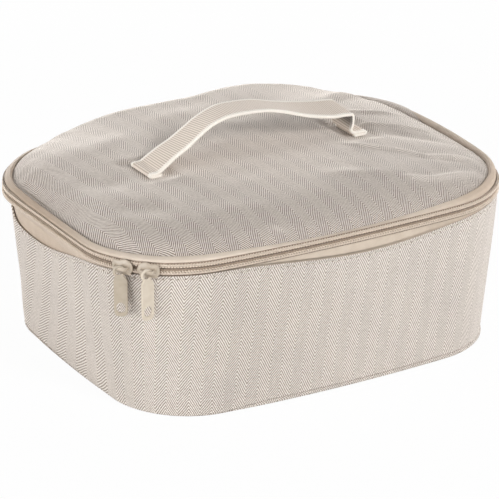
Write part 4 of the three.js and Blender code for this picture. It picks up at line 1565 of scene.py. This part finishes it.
def pullerParts(hand):
    p = zipPuller
    turn = np.radians(np.linspace(p["eyeGap"], 360 - p["eyeGap"], 56))
    ring = np.stack([p["eye"] * np.cos(turn), p["eye"] * np.sin(turn) - p["eyeDrop"], 0 * turn], -1)
    eye = barAlong(ring, upward, p["thick"] / 2, p["wire"], squareness=0.6)
    half, neck, end = p["width"] / 2, p["neck"] / 2, -p["length"]
    top = -p["eyeDrop"] - p["eye"]
    corners = [(-neck, top + 0.5), (-half, top - 2.6), (-half, end)]
    corners += [(-x, y) for x, y in corners[::-1]]
    outline = roundedOutline(corners, [0.8, 2.0, 3.8, 3.8, 2.0, 0.8], 8)
    wide, tall = p["hole"]
    hole = []
    for angle in np.linspace(0, 2 * np.pi, 40, endpoint=False):
        hole.append((wide / 2 * math.cos(angle), end + p["holeUp"] + tall / 2 * math.sin(angle)))
    tab = plateFrom([outline, hole], -p["thick"] / 2, p["thick"] / 2, 0.45)
    parts = []
    for points, faces in (eye, tab):
        lean = (p["face"] - p["hang"]) * smoothStep(-3, -9, points[:, 1])
        across, out = turned(points[:, 0], points[:, 2], -p["yaw"][hand])
        parts.append((np.stack([across, points[:, 1], p["face"] - lean + out], -1), faces))
    return parts


zipPaints = {
    "slider_left": shadedSliderPaint,
    "slider_right": shadedSliderPaint,
    "puller_left": shadedPaint,
    "puller_right": zipPaint,
}
for hand, nose, away in (("left", 1, -0.5), ("right", -1, 0.5)):
    moved = zipSlider["slide"][hand] + away * zipSlider["pitch"]
    turn = math.radians(zipSlider["meetTurn"]) + moved / rimArcs["radii"][1]
    for kind, parts in (("slider", sliderParts(nose)), ("puller", pullerParts(hand))):
        points, faces = joined(parts)
        piece = newPiece(kind + hand.capitalize(), seatOnZip(points, turn), faces, merge=True, sharp=50)
        node = f"{kind}_{hand}"
        finishPiece(piece, zipPaints[node], node, "painted_metal", node)
print("sliders and pullers fitted")


# the strap's line runs from one folded end over the grip to the other
def strapPath():
    s = handleStrap
    base = s["base"]
    low = base - s["thick"] - 0.05
    end = s["end"] - s["thick"] * 0.6
    left = [(s["hem"] - end, low), (4 - end, low), (0.6 - end, low + 0.1)]
    left += [(-0.3 - end, (low + base) / 2), (0.6 - end, base - 0.1)]
    right = [(-x, z) for x, z in left[::-1]]
    line = throughPoints(left + s["route"] + right, 2000)
    return evenly(line, int(lengthAlong(line)[-1] / s["step"]))


strapLine = strapPath()
strapX, strapZ = strapLine.T
strapLength = lengthAlong(strapLine)
strapTangent = unitRows(np.gradient(strapLine, axis=0))
halfWidth = handleStrap["width"] / 2
halfThick = handleStrap["thick"] / 2
edge = handleStrap["edge"]
flatAcross = np.linspace(edge - halfWidth, halfWidth - edge, handleStrap["columns"])
flatUp = np.ones(handleStrap["columns"])
edgeAngles = np.radians([60, 30, 0, -30, -60])
edgeAcross = halfWidth - edge + edge * np.cos(edgeAngles)
edgeUp = np.sin(edgeAngles)
sectionY = np.concatenate([flatAcross, edgeAcross, flatAcross[::-1], -edgeAcross[::-1]])
sectionUp = np.concatenate([flatUp, edgeUp, -flatUp, edgeUp[::-1]])
core = np.abs(sectionY) < webbingLook["selvedge"]
ribs = handleStrap["rib"] * (np.abs(np.sin(np.pi * strapLength / webbingLook["rib"])) ** 0.7 - 0.6)
beads = 0.13 * np.sin(2 * np.pi * strapLength / handleStrap["bead"]) + 0.14
strapUp = sectionUp * (halfThick + np.where(core, ribs[:, None], beads[:, None]))
strapRoll = np.interp(strapX, *np.array(handleStrap["roll"]).T) * smoothStep(122, 127, strapZ)
strapY = np.broadcast_to(sectionY, strapUp.shape)
strapPoints = np.stack([
    strapX[:, None] - strapTangent[:, 1:] * strapUp,
    strapY,
    strapZ[:, None] + strapTangent[:, :1] * strapUp + strapRoll[:, None] * sectionY / halfWidth,
], -1)
strapFaces = gridFaces(*strapUp.shape, True)
strapFaces.append(rowFace(0, len(sectionY))[::-1])
strapFaces.append(rowFace(len(strapLine) - 1, len(sectionY)))
# painted shade: the strap's underside darkens into the fold of the right riser
strapPaintedShade = handleStrap["shade"] * smoothStep(121.5, 130, strapZ) * smoothStep(45, 62, strapX)
strapWeave = np.stack([
    strapY,
    np.broadcast_to(strapLength[:, None], strapUp.shape),
    strapPaintedShade[:, None] * (sectionUp < -0.6),
], -1)
strap = newPiece("handleStrap", strapPoints, strapFaces, strapWeave)
finishPiece(strap, strapWebbing, "lid", "webbing", "handle_strap")
print("strap woven")

# stitching
stitchThread = nylons["stitchThread"]


def threadOnWall(name, stations, heights, give, settings, body, passed=None, thread=stitchThread):
    base = spot(stations, wallPanel["outer"], heights)
    line = base + outward(stations) * give(stations, heights, base)[..., None]
    points, faces = stitchRow(line, outward(stations), settings, passed)
    finishPiece(newPiece(name, points, faces), thread, body, "tape")


def noGive(station, height, place):
    return np.zeros(len(station))


threadOnWall("wallEdgeStitching", edgeStations, edgeRow, wallGive, threadRows["edge"], "bag", edgePassed)
# painted shade: dark dashes at the needle holes under the edge stitching
threadOnWall(
    "wallNeedleHoles", edgeStations, edgeRow, wallGive, threadRows["holes"], "bag", edgePassed - 1,
    nylons["needleHoleShade"],
)
seamDrop = 2.4  # from the edge to its seam
backEdge = np.linspace(44.2, 51.8, 300)
backRow = np.full_like(backEdge, backPanel["top"] - seamDrop)
threadOnWall("backEdgeStitching", backEdge, backRow, backGive, threadRows["hinge"], "bag")
hingeEdge = np.linspace(44.9, 51.1, 300)
hingeRow = np.full_like(hingeEdge, lidPanel["hingeFold"] + seamDrop)
threadOnWall("hingeStitching", hingeEdge, hingeRow, noGive, threadRows["hinge"], "lid")

strapThreads = []
tabAcross = np.linspace(-handleStrap["stitchHalf"], handleStrap["stitchHalf"], 40)
tabTop = np.full_like(tabAcross, handleStrap["base"] + halfThick + 0.05)
for side in (-1, 1):
    for along in handleStrap["stitches"]:
        line = np.stack([np.full_like(tabAcross, side * along), tabAcross, tabTop], -1)
        strapThreads.append(stitchRow(line, upward, threadRows["strap"]))
points, faces = joined(strapThreads)
finishPiece(newPiece("strapStitching", points, faces), stitchThread, "lid", "webbing")
print("seams stitched")

# camera at the photograph's view
view = {
    "azimuth": -29.87,
    "elevation": 22.64,
    "distance": 1.98155,
    "target": (-0.00052, 0.0003, 0.05124),
    "lens": 224.92,
}
scene = bpy.context.scene
cameraData = bpy.data.cameras.new("camera")
cameraData.lens = view["lens"]
cameraData.sensor_width = 36
cameraData.clip_start = 0.05
cameraData.clip_end = 50
camera = bpy.data.objects.new("camera", cameraData)
scene.collection.objects.link(camera)
azimuth = math.radians(view["azimuth"])
lift = math.radians(view["elevation"])
back = Vector((math.sin(azimuth) * math.cos(lift), -math.cos(azimuth) * math.cos(lift), math.sin(lift)))
camera.location = Vector(view["target"]) + back * view["distance"]
camera.rotation_euler = (-back).to_track_quat("-Z", "Y").to_euler()
scene.camera = camera


# 1 on what the camera sees, straight on or through a gloss or clear face, and 0 on what lights the bag
def seenShare(nodes, links):
    path = nodes.new("ShaderNodeLightPath")
    share = path.outputs["Is Camera Ray"]
    for ray in ("Is Glossy Ray", "Is Transmission Ray"):
        larger = nodes.new("ShaderNodeMath")
        larger.operation = "MAXIMUM"
        links.new(share, larger.inputs[0])
        links.new(path.outputs[ray], larger.inputs[1])
        share = larger.outputs[0]
    return share


# pale floor that keeps the bag's shadow
floorLook = {"size": 8, "pale": (0.88, 0.88, 0.88, 1), "lift": 0.955}
half = floorLook["size"] / 2
floorMesh = bpy.data.meshes.new("floor")
floorMesh.from_pydata([(x, y, 0) for x, y in rectangle(-half, half, -half, half)], [], [(0, 1, 2, 3)])
floor = bpy.data.objects.new("floor", floorMesh)
scene.collection.objects.link(floor)
floorPaint = bpy.data.materials.new("floorPaint")
floorPaint.use_nodes = True
nodes = floorPaint.node_tree.nodes
links = floorPaint.node_tree.links
nodes.clear()
out = nodes.new("ShaderNodeOutputMaterial")
blendShader = nodes.new("ShaderNodeMixShader")
matt = nodes.new("ShaderNodeBsdfDiffuse")
matt.inputs["Color"].default_value = floorLook["pale"]
white = nodes.new("ShaderNodeEmission")
white.inputs["Color"].default_value = (1, 1, 1, 1)
white.inputs["Strength"].default_value = 1.0
lifted = nodes.new("ShaderNodeMath")
lifted.operation = "MULTIPLY"
links.new(seenShare(nodes, links), lifted.inputs[0])
lifted.inputs[1].default_value = floorLook["lift"]
links.new(lifted.outputs[0], blendShader.inputs[0])
links.new(matt.outputs[0], blendShader.inputs[1])
links.new(white.outputs[0], blendShader.inputs[2])
links.new(blendShader.outputs[0], out.inputs["Surface"])
floorMesh.materials.append(floorPaint)

# studio: a pale surround, softer overhead than at the horizon, and broad lamps
studio = {"horizon": 0.38, "overhead": 0.12, "aim": (0, 0, 0.07)}
world = bpy.data.worlds.new("studio")
scene.world = world
world.use_nodes = True
nodes = world.node_tree.nodes
links = world.node_tree.links
nodes.clear()
out = nodes.new("ShaderNodeOutputWorld")
around = nodes.new("ShaderNodeBackground")
behind = nodes.new("ShaderNodeBackground")
behind.inputs["Color"].default_value = (1, 1, 1, 1)
pick = nodes.new("ShaderNodeMixShader")
where = nodes.new("ShaderNodeTexCoord")
parts = nodes.new("ShaderNodeSeparateXYZ")
fall = nodes.new("ShaderNodeMapRange")
links.new(where.outputs["Generated"], parts.inputs[0])
links.new(parts.outputs["Z"], fall.inputs[0])
for index, value in enumerate((0, 1, studio["horizon"], studio["overhead"]), 1):
    fall.inputs[index].default_value = value
links.new(fall.outputs[0], around.inputs["Strength"])
links.new(seenShare(nodes, links), pick.inputs[0])
links.new(around.outputs[0], pick.inputs[1])
links.new(behind.outputs[0], pick.inputs[2])
links.new(pick.outputs[0], out.inputs["Surface"])

lamps = {
    "frontLamp": {"place": (0.4, -1.75, 1.25), "size": 0.5, "power": 28},
    "leftLamp": {"place": (-1.9, -0.3, 0.25), "size": 1.7, "power": 43},
    "rightLamp": {"place": (1.9, 0.1, 0.3), "size": 1.3, "power": 25.5},
    "backLamp": {"place": (0.2, 1.9, 0.16), "size": 1.2, "power": 49.5},
}
for name, lamp in lamps.items():
    light = bpy.data.lights.new(name, "AREA")
    light.shape = "SQUARE"
    light.size = lamp["size"]
    light.energy = lamp["power"]
    holder = bpy.data.objects.new(name, light)
    holder.location = lamp["place"]
    toBag = Vector(studio["aim"]) - Vector(lamp["place"])
    holder.rotation_euler = toBag.to_track_quat("-Z", "Y").to_euler()
    scene.collection.objects.link(holder)

bpy.context.scene.view_settings.view_transform = "Standard"
bpy.context.view_layer.update()
